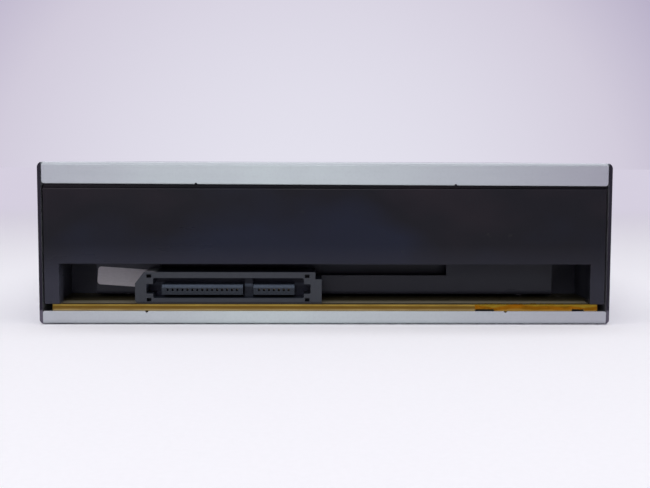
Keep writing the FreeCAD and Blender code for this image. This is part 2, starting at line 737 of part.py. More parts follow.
def make_main_chassis():
    """Moulded plastic frame that carries the mechanism, the tray and the case."""
    body = joined(chassis_walls() + chassis_fittings())
    cuts = [span(BAY_SLOT_X, (BAY_WALL_Y - WALL - 1, BAY_WALL_Y + 1), BAY_SLOT_Z)]
    cuts.append(motor_section(0.2, (DECK_TOP - WALL - 1, DECK_TOP + 1)))
    cuts.append(bar("x", PIVOT_Y, PIVOT_Z, (-SIDE_DECK_IN + 1, SIDE_DECK_IN - 1), PIVOT_PIN + RUNNING))
    for y in HOLE_ROWS_Y:
        for z in SIDE_HOLES_Z:
            for end in ((-HALF_CASE, 3 - WALL_IN), (WALL_IN - 3, HALF_CASE)):
                cuts.append(bar("x", y, z, end, HOLE_RADIUS + 0.8))
    cuts += both_sides((WALL_IN - 0.1, WALL_OUT + 0.1), CLIP_Y, CLIP_Z)
    cuts.append(span((LAMP_X[0] - 1.5, BUTTON_X[1] + 2), (CASE_FRONT_Y, PIPE_Y[1] + 0.4),
                     (DECK_TOP - WALL - 1, BUTTON_Z[1] + 1.5)))
    cuts += [post(x, y, (0, DECK_TOP - WALL - 1), COVER_PILOT) for x, y in COVER_SCREWS]
    return body.cut(cuts).removeSplitter()


def make_front_bezel():
    """Moulded front frame: a thin shell with a slot for the tray door and clips behind."""
    face_y = FRONT_Y + FACE_STEP
    half = FRONT_WIDTH / 2
    block = prism(rectangle((-half, half), (0, CASE_HEIGHT), FRONT_CORNER), "y", face_y, CASE_FRONT_Y)
    rim = [edge for edge in block.Edges if edge.BoundBox.YMax < face_y + 0.01]
    block = block.makeFillet(FRONT_EDGE, rim)
    inner_x = (FACE_WALL - half, half - FACE_WALL)
    inner_z = (FACE_WALL, CASE_HEIGHT - FACE_WALL)
    hollow = prism(rectangle(inner_x, inner_z, 1.0), "y", face_y + FACE_THICK, CASE_FRONT_Y + 1)
    edge_x = WINDOW_HALF + WINDOW_FRAME
    edge_z = (WINDOW_Z[0] - WINDOW_FRAME, WINDOW_Z[1] + WINDOW_FRAME)
    frame = span((-edge_x, edge_x), (face_y, CASE_FRONT_Y), edge_z)
    pieces = [block.cut(hollow.cut(frame))]
    clip_z = (CLIP_Z[0] + 0.3, CLIP_Z[1] - 0.3)
    pieces += both_sides(CLIP_X, (face_y + 2, CLIP_END), clip_z)
    for side in (-1, 1):
        start = (side * CLIP_X[1], CLIP_Y[0] + 0.2)
        tip = (side * CATCH_X, CLIP_Y[0] + 0.2)
        end = (side * CLIP_X[1], CLIP_Y[1] - 0.2)
        pieces.append(prism([start, tip, end], "z", clip_z[0], clip_z[1]))
    pieces += both_sides(LUG_X, (face_y + 2, LUG_END), LUG_Z)
    cuts = [prism(rectangle((-WINDOW_HALF, WINDOW_HALF), WINDOW_Z, 1.0), "y", FRONT_Y, CASE_FRONT_Y + 1)]
    hole_x = (BUTTON_X[0] - BUTTON_PLAY, BUTTON_X[1] + BUTTON_PLAY)
    hole_z = (BUTTON_Z[0] - BUTTON_PLAY, BUTTON_Z[1] + BUTTON_PLAY)
    cuts.append(prism(rectangle(hole_x, hole_z, 1.0), "y", FRONT_Y, CASE_FRONT_Y))
    cuts.append(span(LAMP_X, (FRONT_Y, CASE_FRONT_Y), LAMP_Z))
    cuts.append(bar("y", PIN_HOLE_X, PIN_HOLE_Z, (FRONT_Y, CASE_FRONT_Y), PIN_HOLE))
    return joined(pieces).cut(cuts).removeSplitter()


def make_tray_bezel():
    """Door that closes the front slot, hooked onto the front of the tray."""
    half = WINDOW_HALF - DOOR_GAP
    low = WINDOW_Z[0] + DOOR_GAP
    high = WINDOW_Z[1] - DOOR_GAP
    door = prism(rectangle((-half, half), (low, high), 0.8), "y", FRONT_Y, TRAY_Y[0])
    rim = [edge for edge in door.Edges if edge.BoundBox.YMax < FRONT_Y + 0.01]
    door = door.makeFillet(DOOR_EDGE, rim)
    inner_x = (3 - half, half - 3)
    inner_z = (TRAY_RIM_Z + 1.5, high - DOOR_WALL)
    hollow = prism(rectangle(inner_x, inner_z, 1.0), "y", FRONT_Y + DOOR_WALL, TRAY_Y[0] + 1)
    return door.cut(hollow)


def make_eject_button():
    """Push button with a collar behind the front frame and a stem that meets the switch."""
    cap = prism(rectangle(BUTTON_X, BUTTON_Z, 0.8), "y", FRONT_Y, CASE_FRONT_Y)
    rim = [edge for edge in cap.Edges if edge.BoundBox.YMax < FRONT_Y + 0.01]
    cap = cap.makeFillet(0.5, rim)
    collar_x = (BUTTON_X[0] - 1, BUTTON_X[1] + 1)
    collar = span(collar_x, (CASE_FRONT_Y, CASE_FRONT_Y + 1), (STEM_Z[0], BUTTON_Z[1] + 0.8))
    stem = span(STEM_X, (CASE_FRONT_Y + 1, STEM_END), STEM_Z)
    return joined([cap, collar, stem])


def make_led_lens():
    """Bent light pipe from the indicator up to the front face."""
    low, high = LAMP_Z
    front, rear = PIPE_Y
    tip = FRONT_Y + FACE_STEP
    corners = [(tip, low), (front, low), (front, PIPE_FOOT)]
    corners += [(rear, PIPE_FOOT), (rear, high, 0.8), (tip, high)]
    return prism(corners, "x", LAMP_X[0], LAMP_X[1])


def rack_teeth(module, count, first, direction):
    """Corners of a row of rack teeth as (position along, distance out from the pitch line)."""
    pitch = math.pi * module
    thick = (math.pi / 2 - TOOTH_PLAY) * module / 2
    slope = math.tan(PRESSURE)
    tip = ADDENDUM * module
    root = DEDENDUM * module
    corners = []
    for tooth in range(count):
        middle = first + direction * pitch * tooth
        corners.append((middle - direction * (thick + root * slope), -root))
        corners.append((middle - direction * (thick - tip * slope), tip))
        corners.append((middle + direction * (thick - tip * slope), tip))
        corners.append((middle + direction * (thick + root * slope), -root))
    return corners


def tray_rack():
    """Toothed bar under the left side of the tray."""
    first = TRAIN_Y - math.pi * RACK_MODULE
    teeth = rack_teeth(RACK_MODULE, RACK_TOOTH_COUNT, first, 1)
    root_x = RACK_X - DEDENDUM * RACK_MODULE
    back_x = RACK_X - RACK_BACK
    corners = [(back_x, first - 2), (root_x, first - 2)]
    corners += [(RACK_X + out, along) for along, out in teeth]
    corners += [(root_x, TRAY_Y[1]), (back_x, TRAY_Y[1])]
    return prism(corners, "z", RACK_Z[0], RACK_Z[1] + 0.5)


def make_disc_tray():
    """Sliding tray with two stepped disc recesses, pickup slot, side skirts and rack."""
    front, rear = TRAY_Y
    top = prism(
        [
            (-TRAY_HALF, front), (TRAY_HALF, front),
            (TRAY_HALF, rear, TRAY_CORNER), (-TRAY_HALF, rear, TRAY_CORNER),
        ],
        "z", TRAY_BASE_Z, TRAY_RIM_Z,
    )
    root = TRAY_BASE_Z + 0.5
    pieces = [top, tray_rack()]
    skirt_x = (TRAY_HALF - TRAY_SKIRT, TRAY_HALF)
    pieces += both_sides(skirt_x, (front, rear - TRAY_CORNER), (TRAY_SKIRT_Z, root))
    pieces.append(span((-TRAY_HALF, TRAY_HALF), (front, front + TRAY_APRON), (TRAY_APRON_Z, root)))
    tray = joined(pieces)
    through = (TRAY_BASE_Z - 1, TRAY_RIM_Z + 1)
    small_z = TRAY_FLOOR_Z - SMALL_RECESS_DEPTH
    cuts = [
        Part.makeCone(DISC_RECESS, DISC_RECESS + 1, 2.1, Vector(0, SPINDLE_Y, TRAY_FLOOR_Z)),
        Part.makeCone(SMALL_RECESS, SMALL_RECESS + 1, 1.0, Vector(0, SPINDLE_Y, small_z)),
        post(0, SPINDLE_Y, through, TABLE_HOLE),
        plate(PICKUP_SLOT_X, (SPINDLE_Y, PICKUP_SLOT_END), through, 3.0),
        span(PICKUP_ROOM_X, (PICKUP_ROOM_START, rear + 1), (TRAY_BASE_Z - 1, TRAY_FLOOR_Z)),
    ]
    for x in (-FINGER_X, FINGER_X):
        cuts.append(post(x, FINGER_Y, (TRAY_FLOOR_Z - FINGER_DEPTH, TRAY_RIM_Z + 1), FINGER))
    return tray.cut(cuts).removeSplitter()


def make_tray_drive_gear():
    """Stepped gear: a wide lower wheel and the upper pinion that drives the rack."""
    wheel = gear(WHEEL_MODULE, WHEEL_TEETH, 0, DRIVE_X, TRAIN_Y, WHEEL_Z)
    hub = post(DRIVE_X, TRAIN_Y, (WHEEL_Z[1], PINION_Z[0]), GEAR_HUB)
    turn = math.pi + math.pi / PINION_TEETH
    pinion = gear(RACK_MODULE, PINION_TEETH, turn, DRIVE_X, TRAIN_Y, PINION_Z)
    bore = post(DRIVE_X, TRAIN_Y, (0, CASE_HEIGHT), DRIVE_POST + RUNNING)
    web = post(DRIVE_X, TRAIN_Y, (WHEEL_Z[1] - 1, WHEEL_Z[1] + 1), GEAR_WEB)
    web = web.cut(post(DRIVE_X, TRAIN_Y, (WHEEL_Z[1] - 2, WHEEL_Z[1] + 2), GEAR_HUB))
    return joined([wheel, hub, pinion]).cut([bore, web])


def make_pulley_gear():
    """Belt pulley with the small pinion that drives the stepped gear."""
    turn = math.pi + math.pi / IDLER_TEETH
    pinion = gear(WHEEL_MODULE, IDLER_TEETH, turn, IDLER_X, TRAIN_Y, (WHEEL_Z[0], PULLEY_Z[0]))
    low, high = PULLEY_Z
    edge = IDLER_GROOVE + PULLEY_RIM
    hub, dish = PULLEY_DISH
    dished = high - PULLEY_DISH_DEPTH
    pulley = turned(
        [
            (0, low), (edge, low), (edge, low + PULLEY_RIM), (IDLER_GROOVE, low + 1.1),
            (IDLER_GROOVE, high - 1.1), (edge, high - PULLEY_RIM), (edge, high),
            (dish, high), (dish, dished), (hub, dished), (hub, high), (0, high),
        ],
        IDLER_X, TRAIN_Y,
    )
    bore = post(IDLER_X, TRAIN_Y, (0, CASE_HEIGHT), IDLER_POST + RUNNING)
    return joined([pinion, pulley]).cut(bore)


def motor_section(gap, z):
    """Round motor can with two flats, grown by a gap."""
    can = post(MOTOR_X, TRAIN_Y, z, MOTOR_RADIUS + gap)
    flat = MOTOR_FLAT + gap
    wide = MOTOR_RADIUS + 2
    return can.common(span((MOTOR_X - wide, MOTOR_X + wide), (TRAIN_Y - flat, TRAIN_Y + flat), z))


def make_loading_motor():
    """Small direct current motor hung through the deck by its end plate."""
    can = motor_section(0, (MOTOR_LOW, DECK_TOP))
    half_x, half_y = MOTOR_PLATE
    end_plate = plate((MOTOR_X - half_x, MOTOR_X + half_x), (TRAIN_Y - half_y, TRAIN_Y + half_y),
                      (DECK_TOP, DECK_TOP + MOTOR_PLATE_THICK), 3.0)
    top = MOTOR_NOSE_TOP
    nose_profile = [(0, DECK_TOP), (MOTOR_NOSE, DECK_TOP), (MOTOR_NOSE, top - 0.6)]
    nose_profile += [(MOTOR_NOSE - 0.6, top), (0, top)]
    nose = turned(nose_profile, MOTOR_X, TRAIN_Y)
    bore = post(MOTOR_X, TRAIN_Y, (DECK_TOP - 2, top + 1), MOTOR_SHAFT + RUNNING)
    return joined([can, end_plate, nose]).cut(bore)


def make_motor_pulley():
    """Grooved pulley on the motor's shaft."""
    low, high = PULLEY_Z
    edge = MOTOR_GROOVE + 0.9
    shaft_low = DECK_TOP - 1.6
    return turned(
        [
            (0, shaft_low), (MOTOR_SHAFT, shaft_low), (MOTOR_SHAFT, low - 0.6), (edge, low - 0.6),
            (edge, low + 0.5), (MOTOR_GROOVE, low + 1.1), (MOTOR_GROOVE, high - 1.1),
            (edge, high - 0.5), (edge, high), (0, high),
        ],
        MOTOR_X, TRAIN_Y,
    )


def make_drive_belt():
    """Square rubber belt round the two pulleys."""
    middle = (PULLEY_Z[0] + PULLEY_Z[1]) / 2
    small = MOTOR_GROOVE + RUNNING
    large = IDLER_GROOVE + RUNNING
    ends = ((IDLER_X, TRAIN_Y), (MOTOR_X, TRAIN_Y))
    outer = loop_face(ends[0], large + BELT, ends[1], small + BELT, "z", middle - BELT / 2)
    inner = loop_face(ends[0], large, ends[1], small, "z", middle - BELT / 2)
    return outer.cut(inner).extrude(Vector(0, 0, BELT))


def lowered_point(y, z):
    """Place of a point of the level traverse after it is lowered."""
    angle = math.radians(REST_TILT)
    back = y - PIVOT_Y
    up = z - PIVOT_Z
    return (PIVOT_Y + back * math.cos(angle) - up * math.sin(angle),
            PIVOT_Z + back * math.sin(angle) + up * math.cos(angle))


def lowered(shape):
    """The level traverse piece turned down about the rear pivot."""
    return shape.rotated(Vector(0, PIVOT_Y, PIVOT_Z), Vector(1, 0, 0), REST_TILT)


def cam_slot(pin_x):
    """Sloped slot, with a short level run at each end, that lifts one pin."""
    low = lowered_point(sum(CAM_WALL_Y) / 2, CAM_PIN_Z)[1]
    width = CAM_PIN + CAM_SLOT_PLAY
    lifted_x = pin_x + CAM_TRAVEL
    stops = [(pin_x - CAM_SLOT_REST, low), (pin_x, low)]
    stops += [(lifted_x, CAM_PIN_Z), (lifted_x + CAM_SLOT_REST, CAM_PIN_Z)]
    runs = []
    for start, end in zip(stops, stops[1:]):
        face = loop_face(start, width, end, width, "y", CAM_WALL_Y[0] - 1)
        runs.append(face.extrude(Vector(0, CAM_WALL_Y[1] - CAM_WALL_Y[0] + 2, 0)))
    return joined(runs)


def make_cam_slider():
    """Slide that lifts the traverse: a slotted wall, a foot on the deck and a toothed arm."""
    left, right = CAM_WALL_X
    low, high = CAM_WALL_Z
    wall_y = CAM_WALL_Y[0]
    corners = [(left, low, 1), (right, low, 1), (right, high, 2), (left, high, 2)]
    wall = prism(corners, "y", wall_y, CAM_WALL_Y[1])
    foot = span(CAM_FOOT_X, (CAM_FOOT_Y, wall_y), (DECK_TOP + RUNNING, DECK_TOP + 1.6))
    teeth = rack_teeth(RACK_MODULE, CAM_RACK_TEETH, CAM_RACK_START, 1)
    root_y = CAM_RACK_Y + DEDENDUM * RACK_MODULE
    start, end = CAM_ARM_X
    corners = [(start, wall_y), (start, root_y)]
    corners += [(along, CAM_RACK_Y - out) for along, out in teeth]
    corners += [(end, root_y), (end, wall_y)]
    arm = prism(corners, "z", CAM_ARM_Z[0], CAM_ARM_Z[1])
    tie = span(CAM_ARM_X, CAM_WALL_Y, CAM_ARM_Z)
    return joined([wall, foot, arm, tie]).cut([cam_slot(x) for x in CAM_PINS_X])


def make_traverse_frame():
    """Ribbed frame that carries spindle and pickup, with rear pivots and front cam pins."""
    low, high = TRAVERSE_Z
    through = (low - 1, high + 1)
    half = TRAVERSE_HALF
    frame = plate((-half, half), TRAVERSE_Y, TRAVERSE_Z, 5.0)
    inner_x = (TRAVERSE_WALL - half, half - TRAVERSE_WALL)
    inner_y = (TRAVERSE_Y[0] + TRAVERSE_WALL, TRAVERSE_Y[1] - TRAVERSE_WALL)
    frame = frame.cut([
        plate(inner_x, inner_y, (TRAVERSE_WEB[1], high + 1), 3.2),
        plate(inner_x, inner_y, (low - 1, TRAVERSE_WEB[0]), 3.2),
    ])
    rim_x = (SLED_OPENING_X[0] - OPENING_RIM, SLED_OPENING_X[1] + OPENING_RIM)
    rim_y = (SLED_OPENING_Y[0] - OPENING_RIM, SLED_OPENING_Y[1] + OPENING_RIM)
    rims = [plate(rim_x, rim_y, TRAVERSE_Z, 3.0)]
    rims.append(post(0, SPINDLE_Y, (TRAVERSE_WEB[0], high), SPINDLE_ROOM + OPENING_RIM))
    pivots = ((half - 1, PIVOT_END), (-PIVOT_END, 1 - half))
    pins = [bar("x", PIVOT_Y, PIVOT_Z, end, PIVOT_PIN) for end in pivots]
    pins += [bar("y", x, CAM_PIN_Z, (CAM_PIN_END, TRAVERSE_Y[0] + 1), CAM_PIN) for x in CAM_PINS_X]
    frame = joined([frame] + rims + pins)
    cuts = [
        plate(SLED_OPENING_X, SLED_OPENING_Y, through, 2.0),
        post(0, SPINDLE_Y, through, SPINDLE_ROOM),
        bar("y", MAIN_ROD_X, PIVOT_Z, ROD_Y, ROD),
        bar("y", SUB_ROD_X, PIVOT_Z, ROD_Y, ROD),
        bar("y", SCREW_X, PIVOT_Z, (ROD_Y[0] - 0.1, ROD_Y[1] + 0.1), SCREW_RADIUS + RUNNING),
        bar("y", SCREW_X, PIVOT_Z, (FEED_MOTOR_Y[0] - 1.2, FEED_MOTOR_Y[1]), FEED_MOTOR),
    ]
    return frame.cut(cuts).removeSplitter()


def make_spindle_base():
    """Steel plate under the traverse that holds the spindle motor."""
    top = TRAVERSE_WEB[0]
    height = (top - SPINDLE_PLATE_THICK, top)
    base = plate((-SPINDLE_PLATE_X, SPINDLE_PLATE_X), SPINDLE_PLATE_Y, height, SPINDLE_PLATE_CORNER)
    through = (height[0] - 1, height[1] + 1)
    holes_x = (-SPINDLE_SCREW_X, SPINDLE_SCREW_X)
    return base.cut([post(x, SPINDLE_SCREW_Y, through, SPINDLE_SCREW) for x in holes_x])


def make_spindle_stator():
    """Winding ring and bearing sleeve of the spindle motor."""
    low = TRAVERSE_WEB[0]
    bore = ROD + RUNNING
    ring = [(bore, low), (STATOR_RADIUS, low), (STATOR_RADIUS, STATOR_TOP)]
    sleeve = [(SLEEVE_RADIUS, STATOR_TOP), (SLEEVE_RADIUS, SLEEVE_TOP), (bore, SLEEVE_TOP)]
    return turned(ring + sleeve, 0, SPINDLE_Y)


def make_turntable():
    """Rotor cup, disc table and centring hub on one shaft."""
    ceiling, roof = ROTOR_ROOF_Z
    inside, outside = ROTOR_RADII
    table_top = DISC_SEAT_Z - RING_THICK
    shoulder, tip = HUB_Z
    shaft = [(0, SHAFT_LOW), (ROD, SHAFT_LOW), (ROD, ceiling)]
    cup = [(inside, ceiling), (inside, ROTOR_LOW), (outside, ROTOR_LOW), (outside, roof)]
    table = [(TABLE_RADIUS, roof), (TABLE_RADIUS, table_top)]
    hub = [(HUB_RADII[0], table_top), (HUB_RADII[0], shoulder), (HUB_RADII[1], tip), (0, tip)]
    return turned(shaft + cup + table + hub, 0, SPINDLE_Y)


def make_turntable_ring():
    """Rubber ring that the disc sits on."""
    low = DISC_SEAT_Z - RING_THICK
    outer = TABLE_RADIUS - RING_INSET
    section = [(RING_INSIDE, low), (outer, low), (outer, DISC_SEAT_Z), (RING_INSIDE, DISC_SEAT_Z)]
    return turned(section, 0, SPINDLE_Y)


def make_main_guide_rod():
    """Ground rod beside the lead screw."""
    return bar("y", MAIN_ROD_X, PIVOT_Z, ROD_Y, ROD)


def make_sub_guide_rod():
    """Second rod, which only steadies the pickup."""
    return bar("y", SUB_ROD_X, PIVOT_Z, ROD_Y, ROD)


def make_pickup_body():
    """Cast pickup sled: long bearing on the main rod, open fork on the second one."""
    y = about(LENS_Y, SLED_HALF)
    body = plate(SLED_X, y, SLED_Z, SLED_CORNER)
    bearing = bar("y", MAIN_ROD_X, PIVOT_Z, y, SLED_BEARING)
    neck_x = (MAIN_ROD_X - SLED_BEARING, SLED_X[0] + 0.5)
    neck = span(neck_x, y, about(PIVOT_Z, SLED_NECK_RISE))
    fork_x = (SLED_X[1] - 1, SUB_ROD_X + FORK_REACH)
    fork = span(fork_x, about(LENS_Y, FORK_HALF), about(PIVOT_Z, FORK_RISE))
    gap = ROD + RUNNING
    pocket_z = (SLED_Z[0] - 1, SLED_Z[0] + SLED_POCKET_DEPTH)
    cuts = [
        span((SUB_ROD_X - gap, fork_x[1] + 1), about(LENS_Y, FORK_HALF + 1), about(PIVOT_Z, gap)),
        bar("y", MAIN_ROD_X, PIVOT_Z, (y[0] - 1, y[1] + 1), gap),
        post(0, SPINDLE_Y, (0, CASE_HEIGHT), SPINDLE_ROOM + 0.2),
        plate(SLED_POCKET_X, (LENS_Y - 1, y[1] - 2), pocket_z, SLED_CORNER),
    ]
    return joined([body, bearing, neck, fork]).cut(cuts).removeSplitter()


def make_pickup_cover():
    """Folded cover over the lens actuator."""
    base = SLED_Z[1]
    top = base + PICKUP_COVER_HEIGHT
    sheet = PICKUP_COVER_SHEET
    inside_x, inside_y = ((low + sheet, high - sheet) for low, high in (PICKUP_COVER_X, PICKUP_COVER_Y))
    cover = plate(PICKUP_COVER_X, PICKUP_COVER_Y, (base, top), PICKUP_COVER_CORNER)
    inside = plate(inside_x, inside_y, (base - 1, top - sheet), PICKUP_COVER_CORNER - sheet)
    wide, deep = LENS_WINDOW
    window = plate((-wide, wide), about(LENS_Y, deep), (base - 1, top + 1), LENS_HOLDER_CORNER)
    return cover.cut([inside, window])


def make_lens_holder():
    """Moving lens carrier of the actuator, at rest on its lower stop."""
    top = LENS_SEAT_Z + LENS_SEAT_DEPTH
    wide, deep = LENS_HOLDER
    height = (SLED_Z[1] + RUNNING, top)
    holder = plate((-wide, wide), about(LENS_Y, deep), height, LENS_HOLDER_CORNER)
    return holder.cut(post(0, LENS_Y, (LENS_SEAT_Z, top + 1), LENS_RADIUS))


def make_objective_lens():
    """Domed objective lens."""
    low = LENS_SEAT_Z
    edge = LENS_RADIUS
    dome = [(edge - inset, low + rise) for inset, rise in LENS_DOME]
    profile = [(0, low), (edge, low), (edge, low + LENS_RIM)] + dome + [(0, low + LENS_HEIGHT)]
    return turned(profile, 0, LENS_Y)


def make_feed_motor():
    """Stepper motor that turns the lead screw."""
    front, rear = FEED_MOTOR_Y
    can = bar("y", SCREW_X, PIVOT_Z, FEED_MOTOR_Y, FEED_MOTOR)
    cap = bar("y", SCREW_X, PIVOT_Z, (front - FEED_CAP_DEPTH, front), FEED_CAP)
    bore = bar("y", SCREW_X, PIVOT_Z, (rear - FEED_BORE, rear + 1), SCREW_RADIUS + RUNNING)
    return joined([can, cap]).cut(bore)


def make_lead_screw():
    """Lead screw along the pickup's path."""
    start = FEED_MOTOR_Y[1] - FEED_BORE + SCREW_END_PLAY
    return bar("y", SCREW_X, PIVOT_Z, (start, ROD_Y[1] - SCREW_END_PLAY), SCREW_RADIUS)


def make_feed_nut():
    """Follower on the pickup that rides on the lead screw."""
    block_x = (SCREW_X - NUT_REACH, MAIN_ROD_X - SLED_BEARING)
    block = plate(block_x, about(LENS_Y, NUT_HALF), about(PIVOT_Z, NUT_RISE), 0.4)
    return block.cut(bar("y", SCREW_X, PIVOT_Z, about(LENS_Y, NUT_HALF + 1), SCREW_RADIUS + RUNNING))


def make_clamper_bridge():
    """Pressed steel bridge with turned-up edges that holds the clamper above the disc."""
    bridge = plate((-BRIDGE_HALF, BRIDGE_HALF), BRIDGE_Y, BRIDGE_Z, BRIDGE_CORNER)
    low, high = BRIDGE_Y
    edge_x = (-BRIDGE_EDGE_HALF, BRIDGE_EDGE_HALF)
    edges = [span(edge_x, y, (BRIDGE_Z[0], BRIDGE_EDGE_TOP)) for y in ((low, low + 1), (high - 1, high))]
    through = (BRIDGE_Z[0] - 1, BRIDGE_Z[1] + 1)
    window_y = about(SPINDLE_Y, BRIDGE_WINDOW_HALF)
    near, far = BRIDGE_WINDOW_X
    cuts = [post(0, SPINDLE_Y, through, CLAMP_HOLE)]
    cuts += [plate(x, window_y, through, BRIDGE_WINDOW_CORNER) for x in ((near, far), (-far, -near))]
    return joined([bridge] + edges).cut(cuts)


def make_clamper_disc():
    """Lower half of the clamper, with the ring that presses on the disc."""
    low, top = CLAMPER_Z
    edge = CLAMPER_RADIUS
    seat = [(0, MAGNET_Z[1]), (MAGNET_RADII[1], MAGNET_Z[1]), (MAGNET_RADII[1], MAGNET_Z[0])]
    relief = [(HUB_RELIEF, MAGNET_Z[0]), (HUB_RELIEF, low + CLAMPER_DRAFT), (CLAMPER_RING, low)]
    rim = [(edge - CLAMPER_EASE, low), (edge, low + CLAMPER_EASE), (edge, top)]
    collar = [(CLAMPER_COLLAR, top + CLAMPER_DRAFT), (CLAMPER_COLLAR, CLAMPER_JOIN_Z), (0, CLAMPER_JOIN_Z)]
    return turned(seat + relief + rim + collar, 0, SPINDLE_Y)


def make_clamper_cap():
    """Upper half of the clamper, whose rim hangs on the bridge."""
    rest = BRIDGE_Z[1] + RUNNING
    edge = CLAMPER_RADIUS
    underside = [(0, CLAMPER_JOIN_Z), (CAP_INSIDE, CLAMPER_JOIN_Z), (CAP_INSIDE, rest), (edge, rest)]
    crown = [(edge, CLAMPER_TOP - CAP_EASE), (edge - CAP_EASE, CLAMPER_TOP), (0, CLAMPER_TOP)]
    return turned(underside + crown, 0, SPINDLE_Y)


def make_clamper_magnet():
    """Ring magnet that pulls the clamper down to the turntable."""
    bore, edge = MAGNET_RADII
    low, top = MAGNET_Z
    return turned([(bore, low), (edge, low), (edge, top), (bore, top)], 0, SPINDLE_Y)


def make_main_pcb():
    """Main circuit board along the connector end, undercut where it was snapped from its panel."""
    board = plate((-BOARD_HALF, BOARD_HALF), BOARD_Y, BOARD_Z, 0.8)
    cuts = []
    for x in (-BOARD_SEAT_X, BOARD_SEAT_X):
        for y in BOARD_SEATS_Y:
            cuts.append(post(x, y, (0, SATA_TOP), BOARD_SCREW))
    edge = BOARD_Y[1]
    for x in SNAPPED_X:
        cuts.append(span(x, (edge - SNAPPED_DEPTH, edge + 1), (BOARD_Z[0] - 1, BOARD_Z[0] + SNAPPED_RISE)))
    return board.cut(cuts)


def contact_places():
    """Middle of each contact across both tongues."""
    for x, count in zip(TONGUES_X, CONTACT_COUNTS):
        middle = (x[0] + x[1]) / 2
        for index in range(count):
            yield middle + CONTACT_PITCH * (index - (count - 1) / 2)


def make_sata_connector():
    """Combined data and power plug: keyed housing with two tongues in one cavity."""
    base = BOARD_Z[1]
    low, high = SATA_X
    front = SATA_Y[1]
    housing = prism(
        [
            (low, base), (high - SATA_CHAMFER, base), (high, base + SATA_CHAMFER), (high, SATA_SHOULDERS[1]),
            (high - SATA_SLOPE, SATA_TOP, SATA_EDGE), (low + SATA_STEP, SATA_TOP, SATA_EDGE),
            (low + SATA_STEP, SATA_SHOULDERS[0]), (low, SATA_SHOULDERS[0]),
        ],
        "y", SATA_Y[0], front,
    )
    floor_y = front - SOCKET_DEPTH
    cuts = [prism(rectangle(SOCKET_X, SOCKET_Z, SOCKET_CORNER), "y", floor_y, front + 1)]
    cuts.append(prism(rectangle(KEY_X, KEY_Z, SATA_EDGE), "y", floor_y, front + 1))
    wide, tall = PEG_HOLE
    for x in PEG_HOLES_X:
        for z in PEG_HOLES_Z:
            cuts.append(span(about(x, wide), (front - PEG_DEPTH, front + 1), about(z, tall)))
    bottom, top = TONGUE_Z
    lead = [(TONGUE_Y, top - TONGUE_LEAD), (TONGUE_Y - TONGUE_LEAD, top)]
    section = [(floor_y - 1, bottom), (TONGUE_Y, bottom)] + lead + [(floor_y - 1, top)]
    tongues = [prism(section, "x", x[0], x[1]) for x in TONGUES_X]
    tongues.append(span(KEY_RIB_X, (floor_y - 1, KEY_RIB_Y), (SOCKET_Z[0] - 0.3, SOCKET_Z[1] + 0.2)))
    body = joined([housing.cut(cuts)] + tongues)
    half = CONTACT_WIDTH / 2
    return body.cut([span(about(x, half), CHANNEL_Y, CHANNEL_Z) for x in contact_places()])


def make_sata_contacts():
    """Contact blades in the channels of the two tongues."""
    half = CONTACT_WIDTH / 2
    blade_z = (CHANNEL_Z[0], CHANNEL_Z[0] + BLADE)
    blade_y = (CHANNEL_Y[0], BLADE_Y)
    return Part.makeCompound([span(about(x, half), blade_y, blade_z) for x in contact_places()])


def make_pcb_chips():
    """Controller, memory and motor driver packages."""
    base = BOARD_Z[1]
    return Part.makeCompound([plate(x, y, (base, base + height), radius) for x, y, height, radius in CHIPS])


def make_pcb_capacitors():
    """Supply capacitors beside the pivot."""
    base = BOARD_Z[1]
    top = base + CAPACITOR_HEIGHT
    crown = [(CAPACITOR, top - CAPACITOR_EASE), (CAPACITOR - CAPACITOR_EASE, top), (0, top)]
    profile = [(0, base), (CAPACITOR, base)] + crown
    return Part.makeCompound([turned(profile, x, y) for x, y in CAPACITORS])


def make_pcb_sockets():
    """Sockets for the flat cables to pickup and front board."""
    base = BOARD_Z[1]
    height = (base, base + CABLE_SOCKET_HEIGHT)
    corner = CABLE_SOCKET_CORNER
    return Part.makeCompound([plate(x, CABLE_SOCKETS_Y, height, corner) for x in CABLE_SOCKETS_X])


def make_front_pcb():
    """Small board behind the front frame for switch and indicator."""
    return plate(FRONT_BOARD_X, FRONT_BOARD_Y, FRONT_BOARD_Z, 1.0)


def small_switch(base, body, actuator):
    """Switch body standing on the level base, with the piece that is pressed."""
    body_x, body_y, height = body
    actuator_x, actuator_y, (low, high) = actuator
    housing = plate(body_x, body_y, (base, base + height), SWITCH_CORNER)
    return joined([housing, span(actuator_x, actuator_y, (base + low, base + high))])


def make_eject_switch():
    """Flat push switch behind the eject button."""
    return small_switch(FRONT_BOARD_Z[1], EJECT_SWITCH, EJECT_PLUNGER)


def make_status_led():
    """Indicator lamp under the light pipe."""
    base = FRONT_BOARD_Z[1]
    return span((LAMP_X[0] + LAMP_INSET, LAMP_X[1] - LAMP_INSET), PIPE_Y, (base, base + LAMP_HEIGHT))


def make_tray_switch():
    """Switch on the deck that senses the tray."""
    return small_switch(DECK_TOP, TRAY_SWITCH, TRAY_LEVER)


